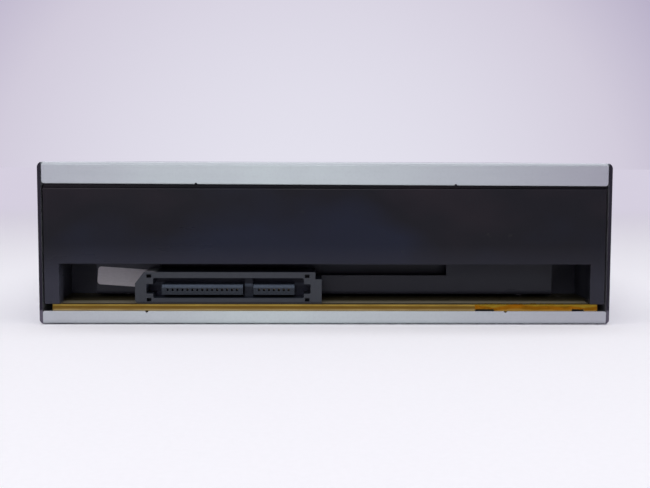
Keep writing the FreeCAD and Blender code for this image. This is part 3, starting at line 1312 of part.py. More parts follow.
FIXED_PIECES = {
    "top_cover": make_top_cover,
    "bottom_cover": make_bottom_cover,
    "main_chassis": make_main_chassis,
    "front_bezel": make_front_bezel,
    "tray_bezel": make_tray_bezel,
    "eject_button": make_eject_button,
    "led_lens": make_led_lens,
    "disc_tray": make_disc_tray,
    "loading_motor": make_loading_motor,
    "motor_pulley": make_motor_pulley,
    "drive_belt": make_drive_belt,
    "pulley_gear": make_pulley_gear,
    "tray_drive_gear": make_tray_drive_gear,
    "cam_slider": make_cam_slider,
    "clamper_bridge": make_clamper_bridge,
    "clamper_disc": make_clamper_disc,
    "clamper_cap": make_clamper_cap,
    "clamper_magnet": make_clamper_magnet,
    "main_pcb": make_main_pcb,
    "sata_connector": make_sata_connector,
    "sata_contacts": make_sata_contacts,
    "pcb_chips": make_pcb_chips,
    "pcb_capacitors": make_pcb_capacitors,
    "pcb_sockets": make_pcb_sockets,
    "front_pcb": make_front_pcb,
    "eject_switch": make_eject_switch,
    "status_led": make_status_led,
    "tray_switch": make_tray_switch,
}

TILTED_PIECES = {
    "traverse_frame": make_traverse_frame,
    "spindle_base": make_spindle_base,
    "spindle_stator": make_spindle_stator,
    "turntable": make_turntable,
    "turntable_ring": make_turntable_ring,
    "main_guide_rod": make_main_guide_rod,
    "sub_guide_rod": make_sub_guide_rod,
    "pickup_body": make_pickup_body,
    "pickup_cover": make_pickup_cover,
    "lens_holder": make_lens_holder,
    "objective_lens": make_objective_lens,
    "feed_motor": make_feed_motor,
    "lead_screw": make_lead_screw,
    "feed_nut": make_feed_nut,
}


def main():
    os.makedirs("parts", exist_ok=True)
    for name, make in FIXED_PIECES.items():
        make().exportStep(f"parts/{name}.step")
    for name, make in TILTED_PIECES.items():
        lowered(make()).exportStep(f"parts/{name}.step")


main()
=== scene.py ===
import math

import bpy
from bpy.props import FloatProperty, FloatVectorProperty, PointerProperty
from mathutils import Matrix, Vector


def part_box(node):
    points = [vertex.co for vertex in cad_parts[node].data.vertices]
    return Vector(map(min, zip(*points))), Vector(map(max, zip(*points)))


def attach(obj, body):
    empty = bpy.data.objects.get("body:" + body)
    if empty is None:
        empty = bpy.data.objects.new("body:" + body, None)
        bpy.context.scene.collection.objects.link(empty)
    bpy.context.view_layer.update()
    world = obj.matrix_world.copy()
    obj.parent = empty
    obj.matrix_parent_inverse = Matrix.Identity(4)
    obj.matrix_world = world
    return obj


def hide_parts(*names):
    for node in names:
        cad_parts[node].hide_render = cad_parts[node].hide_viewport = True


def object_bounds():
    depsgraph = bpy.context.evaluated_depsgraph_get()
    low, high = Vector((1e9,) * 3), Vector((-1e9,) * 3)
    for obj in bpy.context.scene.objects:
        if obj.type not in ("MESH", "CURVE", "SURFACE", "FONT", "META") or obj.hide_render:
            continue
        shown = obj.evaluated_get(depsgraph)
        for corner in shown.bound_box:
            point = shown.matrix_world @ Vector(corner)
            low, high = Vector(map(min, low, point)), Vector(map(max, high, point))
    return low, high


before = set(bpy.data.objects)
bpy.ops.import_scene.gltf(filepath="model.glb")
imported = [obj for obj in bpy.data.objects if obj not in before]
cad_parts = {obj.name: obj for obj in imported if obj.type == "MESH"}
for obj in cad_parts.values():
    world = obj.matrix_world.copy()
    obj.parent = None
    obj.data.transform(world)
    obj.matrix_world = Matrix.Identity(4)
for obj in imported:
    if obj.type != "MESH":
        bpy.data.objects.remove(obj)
CAD_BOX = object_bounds()

bl_info = {
    "name": "Disc Writer Dressing",
    "version": (1, 0, 0),
    "blender": (4, 5, 0),
    "location": "3D View > Sidebar > Disc Writer",
    "description": "Finishes, small pieces and studio for a half-height disc writer",
    "category": "Object",
}

MM = 0.001

# Connector end
BOARD_LOW, BOARD_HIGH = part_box("main_pcb")
COVER_LOW, COVER_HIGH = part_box("top_cover")
PLUG_LOW, PLUG_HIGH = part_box("sata_connector")
BAY_WALL_Y = 75.0 * MM
BAY_ROOF_Z = 15.4 * MM
BAY_HALF = 61.3 * MM
BAY_FADE = 5.0 * MM
LEG_IN = 68.0 * MM
LEG_DEPTH = 5.5 * MM
LEG_FACE = 0.7 * MM
# Painted light on the bay wall above the plug's end
PLUG_END_LIGHT_RISE = (11.0 * MM, 12.5 * MM)
PLUG_END_LIGHT_ACROSS = (40.0 * MM, 47.0 * MM)

# Covers
# Painted sheen: the covers are painted lightest at SHEEN_X and fade to the dull tint by SHEEN_FADE
SHEEN_X = 12.0 * MM
SHEEN_FADE = (8.0 * MM, 82.0 * MM)
# Painted light: the base sheet is tinted a little towards the painted highlight, as if lit from the table
BASE_PAINTED_LIGHT = 0.11
BEND_DEPTH = 1.0 * MM
# Painted highlight along the top of the end bend, with a band of painted shade below it
BEND_HIGHLIGHT_FADE = (0.03 * MM, 0.16 * MM)
BEND_SHADE_START = (0.0, 0.35 * MM)
BEND_SHADE_END = (0.50 * MM, 1.05 * MM)
# Raw cut edges at the connector end, painted dark as shade
CUT_DEPTH = 0.25 * MM
SIDE_SHEET = 0.9 * MM

# Plug: where its shades begin and end, and tones up the socket
# Painted shadow along the plug's foot
FOOT_FADE = (PLUG_LOW.z + 0.3 * MM, PLUG_LOW.z + 0.62 * MM)
SOCKET_LEVELS = (6.0 * MM, 14.0 * MM)
# Painted light and shade up the socket: a painted highlight on the tongues' lead-in, a lighter lower wall and
# darker bands
SOCKET_TONES = (
    (0.0, 0.9), (0.13, 1.6), (0.17, 1.1), (0.37, 1.1), (0.40, 4.2), (0.475, 6.4), (0.49, 0.7), (1.0, 0.7))
SOCKET_START = PLUG_HIGH.y - 0.3 * MM
SOCKET_FADE = (PLUG_HIGH.y - 5.5 * MM, PLUG_HIGH.y - 2.0 * MM)
PLUG_TOP = PLUG_HIGH.z - 0.15 * MM
PLUG_END = (PLUG_HIGH.x - 5.5 * MM, PLUG_HIGH.x - 4.5 * MM)

# Boards: distances in from the rear edge, and tones of the shade there
TRACK_MARGIN = 13.0 * MM
BARE_STRIP = 6.3 * MM
SHADE_REACH = 24.0 * MM
SHADE_TONES = ((0.0, 0.85), (0.05, 0.85), (0.08, 0.0), (0.38, 0.0), (0.50, 0.6), (0.62, 0.7), (1.0, 0.0))

# Snapped board edge
SNAPPED_X = (-69.95 * MM, -38.4 * MM)
UNDERCUTS_X = ((-43.4 * MM, -38.5 * MM), (-66.5 * MM, -63.5 * MM))
UNDERCUT_HEIGHT = 0.5 * MM
SPLINTER_SHIFT = 0.10 * MM
SPLINTER_PROUD = 0.12 * MM
SPLINTER_DEPTH = 0.55 * MM

# Screws: places across, along and up in millimetres; radius and height of head, radius and length of shank
BASE_SCREWS = ((-66, 66), (-60, -15), 0.04)
BOARD_SCREWS = ((-54, 54), (34, 66))
BRIDGE_SCREWS = ((-67.8, 67.8), (-26.5, -1.5))
MOTOR_SCREWS = ((-1.5, 17.5), (-66,), 11.2)
SPINDLE_SCREWS = ((-16, 16), (-33,), 13.8)
BRIDGE_SCREW = (1.5 * MM, 0.9 * MM, 0.6 * MM, 0.02 * MM)
MOTOR_SCREW = (1.5 * MM, 0.8 * MM, 0.6 * MM, 0.02 * MM)
SPINDLE_SCREW = (1.9 * MM, 0.9 * MM, 1.0 * MM, 1.1 * MM)
BASE_SHANK = 4.5 * MM
BOARD_SHANK = 1.6 * MM
BRIDGE_SHEET = 1.0
HEAD_SIDES = 40
NEAR = 0.001 * MM

# Feed screw along its own axis, and the resting tilt of the traverse that carries it
SCREW_ENDS = (-9.8 * MM, 60.9 * MM)
THREAD_ENDS = (-6.0 * MM, 60.0 * MM)
THREAD_TURNS = 22
TURN_STEPS = 24
CREST_RADIUS = 1.4 * MM
RIDGE_ROOT = 0.1 * MM
FEED_SCREW = (-35, 0, 16)
PIVOT = Vector((0.0, 0.064, 0.016))
LOWERED = Matrix.Translation(PIVOT) @ Matrix.Rotation(math.radians(5.5), 4, "X") @ Matrix.Translation(-PIVOT)

# Chips: two corners and pitch in millimetres, legs on a side, and sides counted from +X
CHIPS = (
    ("controller_legs", (-34, 38), (-14, 58), 0.8, 22, (0, 1, 2, 3)),
    ("memory_legs", (2, 38), (12, 56), 0.8, 20, (0, 2)),
    ("driver_legs", (26, 40), (40, 51), 1.0, 12, (1, 3)),
)
CHIP_LEG = ((-0.1 * MM, 0.62 * MM), (0.25 * MM, 0.76 * MM))
LEG_BENDS = ((0.22 * MM, -0.6 * MM), (0.55 * MM, 0.0))

# Studio, in metres
TABLE_RADIUS = 6.0
TABLE_RIM = 5.0
TABLE_GAP = 0.2 * MM
TABLE_MIDDLE = (0.0, 0.12, 0.0)
TABLE_FADE = (0.18, 0.75)
LIGHT_AIM = Vector((0.0, 0.05, 0.02))
SKY_TINT = (0.95, 0.94, 1.0, 1.0)
BACKDROP_WAY = Vector((0.0, -1.0, -0.08)).normalized()
BACKDROP_SPREAD = math.cos(math.radians(22.5))
HORIZON_STOP = 0.375
PICTURE_WIDTH = 650.0
SENSOR_WIDTH = 36.0


def colour(label, description, value):
    """Colour property in linear light."""
    return FloatVectorProperty(
        name=label, description=description, default=value, subtype="COLOR", size=3, min=0.0, max=1.0)


def length(label, description, millimetres):
    """Length property, given in millimetres and kept in metres."""
    return FloatProperty(
        name=label, description=description, default=millimetres * MM, subtype="DISTANCE", unit="LENGTH",
        precision=5)


def angle(label, description, degrees):
    """Angle property, given in degrees and kept in radians."""
    return FloatProperty(
        name=label, description=description, default=math.radians(degrees), subtype="ANGLE", unit="ROTATION")


def factor(label, description, value):
    """Property between nought and one."""
    return FloatProperty(
        name=label, description=description, default=value, subtype="FACTOR", min=0.0, max=1.0)


def power(label, description, watts):
    """Power of a light."""
    return FloatProperty(name=label, description=description, default=watts, min=0.0, unit="POWER")


class WriterCase(bpy.types.PropertyGroup):
    """Finish of the two folded steel covers."""

    steel: colour("Sheet", "Zinc-coated face of the covers", (0.532, 0.600, 0.590))
    # Dull tint: random dull patches of zinc, and also the painted shade towards the sides where the painted
    # sheen fades
    dull: colour("Dull sheet", "Duller zinc coat towards the sides", (0.402, 0.410, 0.448))
    # Painted highlight: pale tint along the top of the end bend, and a little of it on the base sheet as
    # painted light
    rubbed: colour("Rubbed bend", "Zinc rubbed bright along the top of the end bend", (0.80, 0.84, 0.84))
    # Painted shade: darker tint in a band below the painted highlight on the end bend
    stretched: colour("Stretched bend", "Dull zinc where the end bend stretched it", (0.34, 0.37, 0.38))
    # Painted shade: the raw cut edges at the connector end are painted dark, the upper one nearly black
    shaded_cut_edge: colour("Cut edge", "Raw edge of the upper sheet at the connector end", (0.021, 0.018, 0.028))
    shaded_base_edge: colour("Base cut edge", "Raw edge of the base sheet at the connector end", (0.11, 0.10, 0.13))
    metal: factor("Metal", "Share of bright metal in the dulled coat", 0.8)
    roughness: factor("Roughness", "Satin of the zinc coat", 0.50)


class WriterMouldings(bpy.types.PropertyGroup):
    """Colours of the plastic mouldings."""

    chassis: colour("Chassis", "Black frame behind the connector end", (0.0050, 0.0048, 0.0085))
    chassis_blue: colour("Chassis blue", "Faint blue cloud in the black frame", (0.0070, 0.0092, 0.0215))
    chassis_red: colour("Chassis red", "Faint red cloud in the black frame", (0.0125, 0.0086, 0.0130))
    # Painted light: the legs beside the connector bay are painted lighter, as if lit from the table below
    chassis_leg_painted_light: colour("Chassis leg", "Duller legs beside the connector bay", (0.0250, 0.0250, 0.0370))
    # Painted light: the inner wall of the connector bay is painted lighter, as if lit through the opening
    chassis_bay_painted_light: colour("Chassis bay", "Dusty inner wall of the connector bay", (0.0325, 0.0335, 0.0450))
    chassis_dust: colour("Chassis dust", "Faint specks of dust on the black frame", (0.0200, 0.0210, 0.0205))
    tray: colour("Tray", "Black disc tray", (0.012, 0.012, 0.013))
    front: colour("Front", "Black front frame and tray door", (0.010, 0.010, 0.011))
    button: colour("Button", "Smoother black of the push button", (0.012, 0.012, 0.013))
    plug: colour("Plug", "Blue-grey plug housing", (0.0190, 0.0232, 0.0310))
    # Painted light: pale tint painted on the top of the plug at its end
    plug_end_painted_light: colour("Plug dust", "Dust on the upper end of the plug", (0.42, 0.42, 0.46))
    plug_deep: colour("Plug inside", "Bluer shade deep inside the plug", (0.0128, 0.0138, 0.0320))
    white: colour("White", "White gears, pulleys and clamper", (0.74, 0.73, 0.69))
    grey: colour("Grey", "Grey slide, frame and switches", (0.11, 0.115, 0.125))
    socket: colour("Socket", "Off-white cable sockets", (0.62, 0.60, 0.52))


class WriterBoard(bpy.types.PropertyGroup):
    """Colours of the circuit boards and of what is on them."""

    mask: colour("Mask", "Lacquered face of the boards", (0.085, 0.072, 0.040))
    track: colour("Tracks", "Lacquer over the copper tracks", (0.13, 0.11, 0.058))
    bare: colour("Bare strip", "Unlacquered strip along the board's edge", (0.252, 0.226, 0.159))
    edge: colour("Edge", "Upper glass fibre in the board's sawn edge", (0.36, 0.245, 0.044))
    lower: colour("Lower edge", "Lower glass fibre in the board's sawn edge", (0.41, 0.305, 0.125))
    core: colour("Core", "Dark core layer in the board's edge", (0.128, 0.064, 0.003))
    inner: colour("Inner layer", "Layer under the core in the board's edge", (0.215, 0.128, 0.023))
    pad: colour("Pads", "Tinned pads and holes on the boards", (0.36, 0.35, 0.31))
    broken: colour("Broken edge", "Fibres where the board was snapped off", (0.280, 0.104, 0.001))
    broken_dark: colour("Broken edge shade", "Hollows between the snapped fibres", (0.190, 0.080, 0.002))
    broken_top: colour("Broken upper layer", "Olive upper layer of the snapped edge", (0.262, 0.166, 0.014))
    broken_low: colour("Broken lower layer", "Pale lower layer of the snapped edge", (0.345, 0.195, 0.032))
    # Gold plate of the contacts, darkened all over as painted shade
    shaded_contact: colour("Contacts", "Dulled gold plate of the contacts", (0.34, 0.25, 0.12))
    chip: colour("Chips", "Moulded chip packages", (0.014, 0.014, 0.015))
    lead: colour("Leads", "Tinned legs of the chips", (0.62, 0.62, 0.60))


class WriterSticker(bpy.types.PropertyGroup):
    """Bare sticker on the inner wall of the connector bay."""

    paper: colour("Paper", "Grey paper of the sticker", (0.655, 0.622, 0.672))
    width: length("Width", "Length of the sticker along the wall", 19.5)
    height: length("Height", "Height of the sticker", 4.8)
    thickness: length("Thickness", "Thickness of the paper", 0.12)
    corner: length("Corner", "Radius of the corners", 0.85)
    middle_x: length("Middle", "Place of its middle across the case", 50.95)
    middle_z: length("Level", "Level of its middle", 10.4)
    tilt: angle("Tilt", "How far it is stuck on askew", 3.9)


class WriterScrews(bpy.types.PropertyGroup):
    """Small screws and the threaded feed screw."""

    steel: colour("Steel", "Zinc-plated screw heads", (0.60, 0.60, 0.585))
    head_radius: length("Head radius", "Radius of a pan head on the board", 2.2)
    head_height: length("Head height", "Height of a pan head on the board", 1.3)
    shank_radius: length("Shank radius", "Radius of a screw below its head", 1.1)
    flat_radius: length("Flat radius", "Radius of a flat head at the face of the base", 2.5)
    flat_height: length("Flat height", "Height of a flat head sunk in the base", 0.74)
    thread_pitch: length("Thread pitch", "Pitch of the feed screw", 3.0)
    thread_depth: length("Thread depth", "Depth of the feed screw's groove", 0.3)


class WriterStage(bpy.types.PropertyGroup):
    """Studio round the object."""

    camera: FloatVectorProperty(
        name="Camera", description="Place of the camera", default=(0.0045, 0.3464, 0.04152), size=3,
        subtype="TRANSLATION", unit="LENGTH", precision=5)
    yaw: angle("Yaw", "Turn of the camera from square to the connector end", -0.945)
    pitch: angle("Pitch", "How far the camera looks down", 4.632)
    roll: angle("Roll", "Lean of the camera", 0.191)
    focal_pixels: FloatProperty(
        name="Focal length", description="Focal length in pixels of a 650 pixel wide picture", default=1018.0,
        min=1.0)
    paper: colour("Table", "Pale table top under the object", (0.945, 0.932, 0.980))
    horizon: colour("Horizon", "Far edge of the table, where it meets the background", (0.645, 0.604, 0.716))
    backdrop: colour("Backdrop", "Background straight behind the object", (0.782, 0.768, 0.862))
    corner: colour("Far backdrop", "Background away from the object", (0.49, 0.445, 0.585))
    overhead: power("Overhead", "Power of the soft light above", 9.4)
    front: power("Front", "Power of the soft light behind the camera", 2.6)
    ambient: factor("Ambient", "Strength of the light from all round", 0.26)


class Nodes:
    """A node tree, with short calls to add and join its nodes."""

    def __init__(self, tree):
        self.tree = tree

    def add(self, kind, inputs=None, **settings):
        """New node with its settings, and its inputs set or joined."""
        node = self.tree.nodes.new(kind)
        for name, value in settings.items():
            setattr(node, name, value)
        for socket, value in (inputs or {}).items():
            if isinstance(value, bpy.types.NodeSocket):
                self.tree.links.new(value, node.inputs[socket])
            else:
                node.inputs[socket].default_value = value
        return node

    def sum(self, operation, first, second=0.0):
        """Result of one arithmetic step."""
        return self.add("ShaderNodeMath", {0: first, 1: second}, operation=operation).outputs["Value"]

    def over(self, value, limit):
        """One where the value is above the limit."""
        return self.sum("GREATER_THAN", value, limit)

    def under(self, value, limit):
        """One where the value is below the limit."""
        return self.sum("LESS_THAN", value, limit)

    def both(self, first, *others):
        """Product, which is one only where each of them is one."""
        for other in others:
            first = self.sum("MULTIPLY", first, other)
        return first

    def without(self, value):
        """What the value leaves of one."""
        return self.sum("SUBTRACT", 1.0, value)

    def spread(self, value, low, high, start=0.3, end=0.7):
        """Value between two limits carried over to another range."""
        limits = {"Value": value, "From Min": start, "From Max": end, "To Min": low, "To Max": high}
        return self.add("ShaderNodeMapRange", limits).outputs["Result"]

    def rise(self, value, start=0.3, end=0.7):
        """Nought to one between two limits of a value."""
        return self.spread(value, 0.0, 1.0, start, end)

    def fall(self, value, start, end):
        """One to nought between two limits of a value."""
        return self.spread(value, 1.0, 0.0, start, end)

    def ramp(self, value, stops):
        """Colour read from a row of stops that runs from nought to one."""
        node = self.add("ShaderNodeValToRGB", {"Fac": value})
        row = node.color_ramp.elements
        row[0].color = (*stops[0][1], 1.0)
        row[1].color = (*stops[-1][1], 1.0)
        for place, tint in stops[1:-1]:
            row.new(place).color = (*tint, 1.0)
        return node.outputs["Color"]

    def seen(self):
        """One where the camera, a reflection or a clear piece looks, nought for light on things."""
        path = self.add("ShaderNodeLightPath").outputs
        larger = self.sum("MAXIMUM", path["Is Camera Ray"], path["Is Glossy Ray"])
        return self.sum("MAXIMUM", larger, path["Is Transmission Ray"])


class Finish(Nodes):
    """A material's nodes, laid out in the object's own coordinates."""

    def __init__(self, name, **constants):
        self.material = bpy.data.materials.new(name)
        self.material.use_nodes = True
        super().__init__(self.material.node_tree)
        self.shader = self.tree.nodes["Principled BSDF"]
        self.place = self.add("ShaderNodeTexCoord").outputs["Object"]
        for socket, value in constants.items():
            self.shader.inputs[socket.replace("_", " ").title().replace("Ior", "IOR")].default_value = value

    def noise(self, per_metre, stretch=(1.0, 1.0, 1.0), detail=3.0):
        """Noise in the object's own place, drawn out along the axes."""
        mapping = self.add("ShaderNodeMapping", {"Vector": self.place, "Scale": stretch})
        node = self.add(
            "ShaderNodeTexNoise", {"Vector": mapping.outputs["Vector"], "Scale": per_metre, "Detail": detail})
        return node.outputs["Fac"]

    def bands(self, per_metre, direction):
        """Soft bands across one of the axes."""
        place = {"Vector": self.place, "Scale": per_metre}
        return self.add("ShaderNodeTexWave", place, bands_direction=direction).outputs["Fac"]

    def axes(self):
        """The object's three coordinates."""
        return self.add("ShaderNodeSeparateXYZ", {"Vector": self.place}).outputs

    def mix(self, amount, first, second):
        """Colour between two colours."""
        tints = [tint if isinstance(tint, bpy.types.NodeSocket) else (*tint, 1.0) for tint in (first, second)]
        return self.add("ShaderNodeMix", {0: amount, 6: tints[0], 7: tints[1]}, data_type="RGBA").outputs[2]

    def feed(self, socket, value):
        """Joins a result to the shader."""
        self.tree.links.new(value, self.shader.inputs[socket])

    def tint(self, pattern, first, second):
        """Base colour that wavers between two colours."""
        self.feed("Base Color", self.mix(self.rise(pattern), first, second))

    def gloss(self, pattern, low, high):
        """Roughness that wavers between two values."""
        self.feed("Roughness", self.spread(pattern, low, high))

    def relief(self, height, depth):
        """Bump of a real depth, given in millimetres."""
        node = self.add("ShaderNodeBump", {"Height": height, "Strength": 1.0, "Distance": depth * MM})
        self.feed("Normal", node.outputs["Normal"])


def shade(tint, amount):
    """The tint made lighter or darker."""
    return tuple(min(1.0, part * amount) for part in tint)


def sheet_steel(case):
    """Satin zinc-coated sheet with dull patches and fine grain; painted sheen, painted light and shade on the
    end bend and the base, and raw cut edges at the connector end painted dark as shade.
    """
    finish = Finish("satin_zinc_sheet", metallic=case.metal)
    x, y, z = finish.axes()
    patches = finish.spread(finish.noise(55.0, detail=5.0), 0.0, 0.22, 0.35, 0.65)
    face = finish.mix(patches, case.steel, case.dull)
    # Painted sheen: lightest at SHEEN_X, turning darker and more lavender towards the sides
    off_sheen = finish.sum("ABSOLUTE", finish.sum("SUBTRACT", x, SHEEN_X))
    face = finish.mix(finish.rise(off_sheen, *SHEEN_FADE), face, case.dull)
    # Painted light on the base sheet
    face = finish.mix(finish.both(finish.under(z, COVER_LOW.z), BASE_PAINTED_LIGHT), face, case.rubbed)
    specks = finish.spread(finish.noise(1500.0, detail=2.0), 0.0, 0.10, 0.45, 0.75)
    face = finish.mix(specks, face, shade(case.dull, 0.8))
    # Painted highlight at the top of the end bend, with a band of painted shade below it
    bend = finish.over(y, COVER_HIGH.y - BEND_DEPTH)
    below_top = finish.sum("SUBTRACT", COVER_HIGH.z, z)
    bend_shade = finish.both(finish.rise(below_top, *BEND_SHADE_START), finish.fall(below_top, *BEND_SHADE_END), bend)
    face = finish.mix(bend_shade, face, case.stretched)
    face = finish.mix(finish.both(finish.fall(below_top, *BEND_HIGHLIGHT_FADE), bend), face, case.rubbed)
    # Painted shade: the raw cut edges at the connector end are painted dark
    rear = finish.over(y, COVER_HIGH.y - CUT_DEPTH)
    side = finish.over(finish.sum("ABSOLUTE", x), COVER_HIGH.x - SIDE_SHEET)
    cut_edge_shade = finish.mix(finish.over(z, COVER_LOW.z), case.shaded_base_edge, case.shaded_cut_edge)
    finish.feed("Base Color", finish.mix(finish.both(rear, side), face, cut_edge_shade))
    grain = finish.noise(700.0, (0.06, 1.0, 1.0), 4.0)
    finish.gloss(grain, case.roughness - 0.05, case.roughness + 0.06)
    finish.relief(finish.noise(900.0, (0.1, 1.0, 1.0), 5.0), 0.004)
    return finish.material


def moulding(name, tint, roughness, grain, depth, other=None):
    """Moulded plastic: faint flow marks, uneven gloss and a fine eroded grain, its size in millimetres."""
    finish = Finish(name)
    flow = finish.noise(38.0, (1.0, 0.6, 1.6), 4.0)
    finish.tint(flow, tint, other or shade(tint, 1.25))
    finish.gloss(finish.noise(95.0, detail=6.0), roughness - 0.06, roughness + 0.08)
    finish.relief(finish.noise(1.0 / (grain * MM), detail=2.0), depth)
    return finish.material


def plug_housing(tints):
    """Moulded plug with painted light and shade up its socket, a painted highlight along the tongues' upper
    front edge, painted light on the top at one end and a painted shadow along its foot.
    """
    finish = Finish("plug_housing")
    x, y, z = finish.axes()
    flow = finish.noise(38.0, (1.0, 0.6, 1.6), 4.0)
    outside = finish.mix(finish.rise(flow), shade(tints.plug, 0.9), shade(tints.plug, 1.1))
    # Painted shadow along the plug's foot, where it stands on the board
    foot = finish.spread(z, 0.97, 0.0, *FOOT_FADE)
    outside = finish.mix(foot, outside, shade(tints.plug, 0.1))
    # Painted light and shade up the socket, with a painted highlight on the tongues' lead-in
    tones = [(place, shade(tints.plug, amount)) for place, amount in SOCKET_TONES]
    socket = finish.ramp(finish.rise(z, *SOCKET_LEVELS), tones)
    deep = finish.spread(y, 0.75, 0.0, *SOCKET_FADE)
    socket = finish.mix(deep, socket, tints.plug_deep)
    # Painted light on the top of the plug at its end
    lit_at_plug_end = finish.both(finish.over(z, PLUG_TOP), finish.rise(x, *PLUG_END))
    socket = finish.mix(lit_at_plug_end, socket, tints.plug_end_painted_light)
    inside = finish.under(y, SOCKET_START)
    finish.feed("Base Color", finish.mix(inside, outside, socket))
    finish.feed("Specular IOR Level", finish.spread(inside, 0.42, 0.16, 0.0, 1.0))
    finish.gloss(finish.noise(95.0, detail=6.0), 0.36, 0.50)
    finish.relief(finish.noise(2800.0, detail=2.0), 0.008)
    return finish.material


def chassis_black(tints):
    """Black moulding with faint blue and red clouds, wiped gloss and dust specks; painted light on the legs
    and in the connector bay, with painted shade on one leg's inner face.
    """
    finish = Finish("black_chassis", specular_ior_level=0.18)
    x, y, z = finish.axes()
    clouds = finish.noise(17.0, (1.0, 0.6, 1.5), 3.0)
    face = finish.mix(finish.rise(clouds, 0.50, 0.64), tints.chassis, tints.chassis_blue)
    face = finish.mix(finish.fall(clouds, 0.36, 0.48), face, tints.chassis_red)
    specks = finish.spread(finish.noise(330.0, (0.7, 1.0, 1.0), 3.0), 0.0, 0.5, 0.70, 0.78)
    face = finish.mix(specks, face, tints.chassis_dust)
    # Painted light on the legs, lighter towards +X
    across = finish.rise(x, -BAY_HALF, BAY_HALF)
    leg = finish.mix(across, shade(tints.chassis_leg_painted_light, 0.82), shade(tints.chassis_leg_painted_light, 1.15))
    inner = finish.over(y, BAY_WALL_Y - 0.5 * MM)
    middle = finish.under(finish.sum("ABSOLUTE", x), BAY_HALF)
    behind = finish.without(finish.over(y, COVER_HIGH.y - LEG_FACE))
    # Painted light on the bay wall above the plug's end
    lit_at_plug_end = finish.both(finish.rise(z, *PLUG_END_LIGHT_RISE), finish.rise(x, *PLUG_END_LIGHT_ACROSS))
    wall = finish.mix(lit_at_plug_end, tints.chassis_bay_painted_light, shade(tints.chassis_bay_painted_light, 1.8))
    leg = finish.mix(finish.both(inner, middle, behind), leg, wall)
    # Painted light in the recesses beside the bay, lighter towards +X
    recess = finish.both(finish.without(middle), behind)
    sides = finish.mix(across, shade(tints.chassis_bay_painted_light, 1.5), shade(tints.chassis_bay_painted_light, 2.3))
    leg = finish.mix(recess, leg, sides)
    # Painted shade on the inner face of the leg at -X
    flank = finish.both(finish.over(y, COVER_HIGH.y - LEG_DEPTH), finish.under(x, 0.1 * MM - LEG_IN))
    leg = finish.mix(finish.both(recess, flank), leg, shade(tints.chassis_bay_painted_light, 0.5))
    over_plug = finish.both(finish.over(x, PLUG_LOW.x), finish.under(x, PLUG_HIGH.x))
    slot = finish.both(middle, finish.without(inner), finish.without(over_plug))
    # Mask of the painted light and shade above: it fades out above the bay roof and is left off in the slot
    # beside the plug, which keeps the plain black
    low = finish.fall(z, BAY_ROOF_Z - BAY_FADE, BAY_ROOF_Z + BAY_FADE)
    dull = finish.both(low, finish.without(finish.both(slot, 0.95)))
    finish.feed("Base Color", finish.mix(dull, face, leg))
    finish.gloss(finish.noise(60.0, (0.35, 1.0, 1.6), 6.0), 0.24, 0.44)
    finish.relief(finish.noise(2000.0, detail=2.0), 0.005)
    return finish.material


def metal(name, tint, roughness, per_metre, stretch=(1.0, 1.0, 1.0), depth=0.004):
    """Plated or ground metal with tool marks drawn out along one way."""
    finish = Finish(name, metallic=1.0)
    marks = finish.noise(per_metre, stretch, 4.0)
    finish.tint(marks, tint, shade(tint, 0.86))
    finish.gloss(finish.noise(160.0, detail=4.0), roughness - 0.04, roughness + 0.08)
    finish.relief(marks, depth)
    return finish.material


def laminate(name, board, low, high):
    """Circuit board: lacquered faces with tracks, and the glass-fibre layers in its sawn edge."""
    finish = Finish(name, specular_ior_level=0.14)
    _, y, z = finish.axes()
    cells = finish.add("ShaderNodeTexVoronoi", {"Vector": finish.place, "Scale": 75.0}, distance="MANHATTAN")
    draw = finish.add("ShaderNodeSeparateColor", {"Color": cells.outputs["Color"]}).outputs
    runs = {0: finish.over(draw["Red"], 0.5), 2: finish.bands(380.0, "X"), 3: finish.bands(380.0, "Y")}
    lines = finish.add("ShaderNodeMix", runs).outputs[0]
    inward = finish.sum("SUBTRACT", high.y, y)
    clear_edge = finish.both(finish.over(inward, TRACK_MARGIN), finish.over(draw["Green"], 0.3))
    tracks = finish.both(finish.rise(lines, 0.60, 0.70), clear_edge)
    face = finish.mix(tracks, board.mask, board.track)
    holes = finish.add("ShaderNodeTexVoronoi", {"Vector": finish.place, "Scale": 240.0}).outputs["Distance"]
    face = finish.mix(finish.both(finish.under(holes, 0.17), clear_edge), face, board.pad)
    face = finish.mix(finish.under(inward, BARE_STRIP), face, board.bare)
    # Painted shade on the board's face: a dark line along the edge, and a band of shade further in under the
    # chassis
    tones = [(place, (amount, amount, amount)) for place, amount in SHADE_TONES]
    shaded = finish.ramp(finish.rise(inward, 0.0, SHADE_REACH), tones)
    face = finish.mix(shaded, face, shade(board.core, 0.05))
    height = finish.rise(z, low.z, high.z)
    # The top two stops paint a dark shade line along the top of the sawn edge
    layers = finish.ramp(height, (
        (0.0, shade(board.lower, 0.72)), (0.10, board.lower), (0.19, board.lower), (0.30, board.inner),
        (0.62, board.core), (0.73, board.edge), (0.91, board.edge), (0.94, shade(board.core, 0.15)),
        (1.0, shade(board.core, 0.2))))
    fibres = finish.spread(finish.noise(1400.0, (0.12, 1.0, 1.0), 4.0), 0.0, 0.5)
    sawn = finish.mix(fibres, layers, board.core)
    off_middle = finish.sum("ABSOLUTE", finish.sum("SUBTRACT", height, 0.5))
    finish.feed("Base Color", finish.mix(finish.over(off_middle, 0.49), sawn, face))
    finish.gloss(finish.noise(300.0), 0.36, 0.52)
    finish.relief(finish.sum("ADD", tracks, finish.noise(2600.0)), 0.012)
    return finish.material


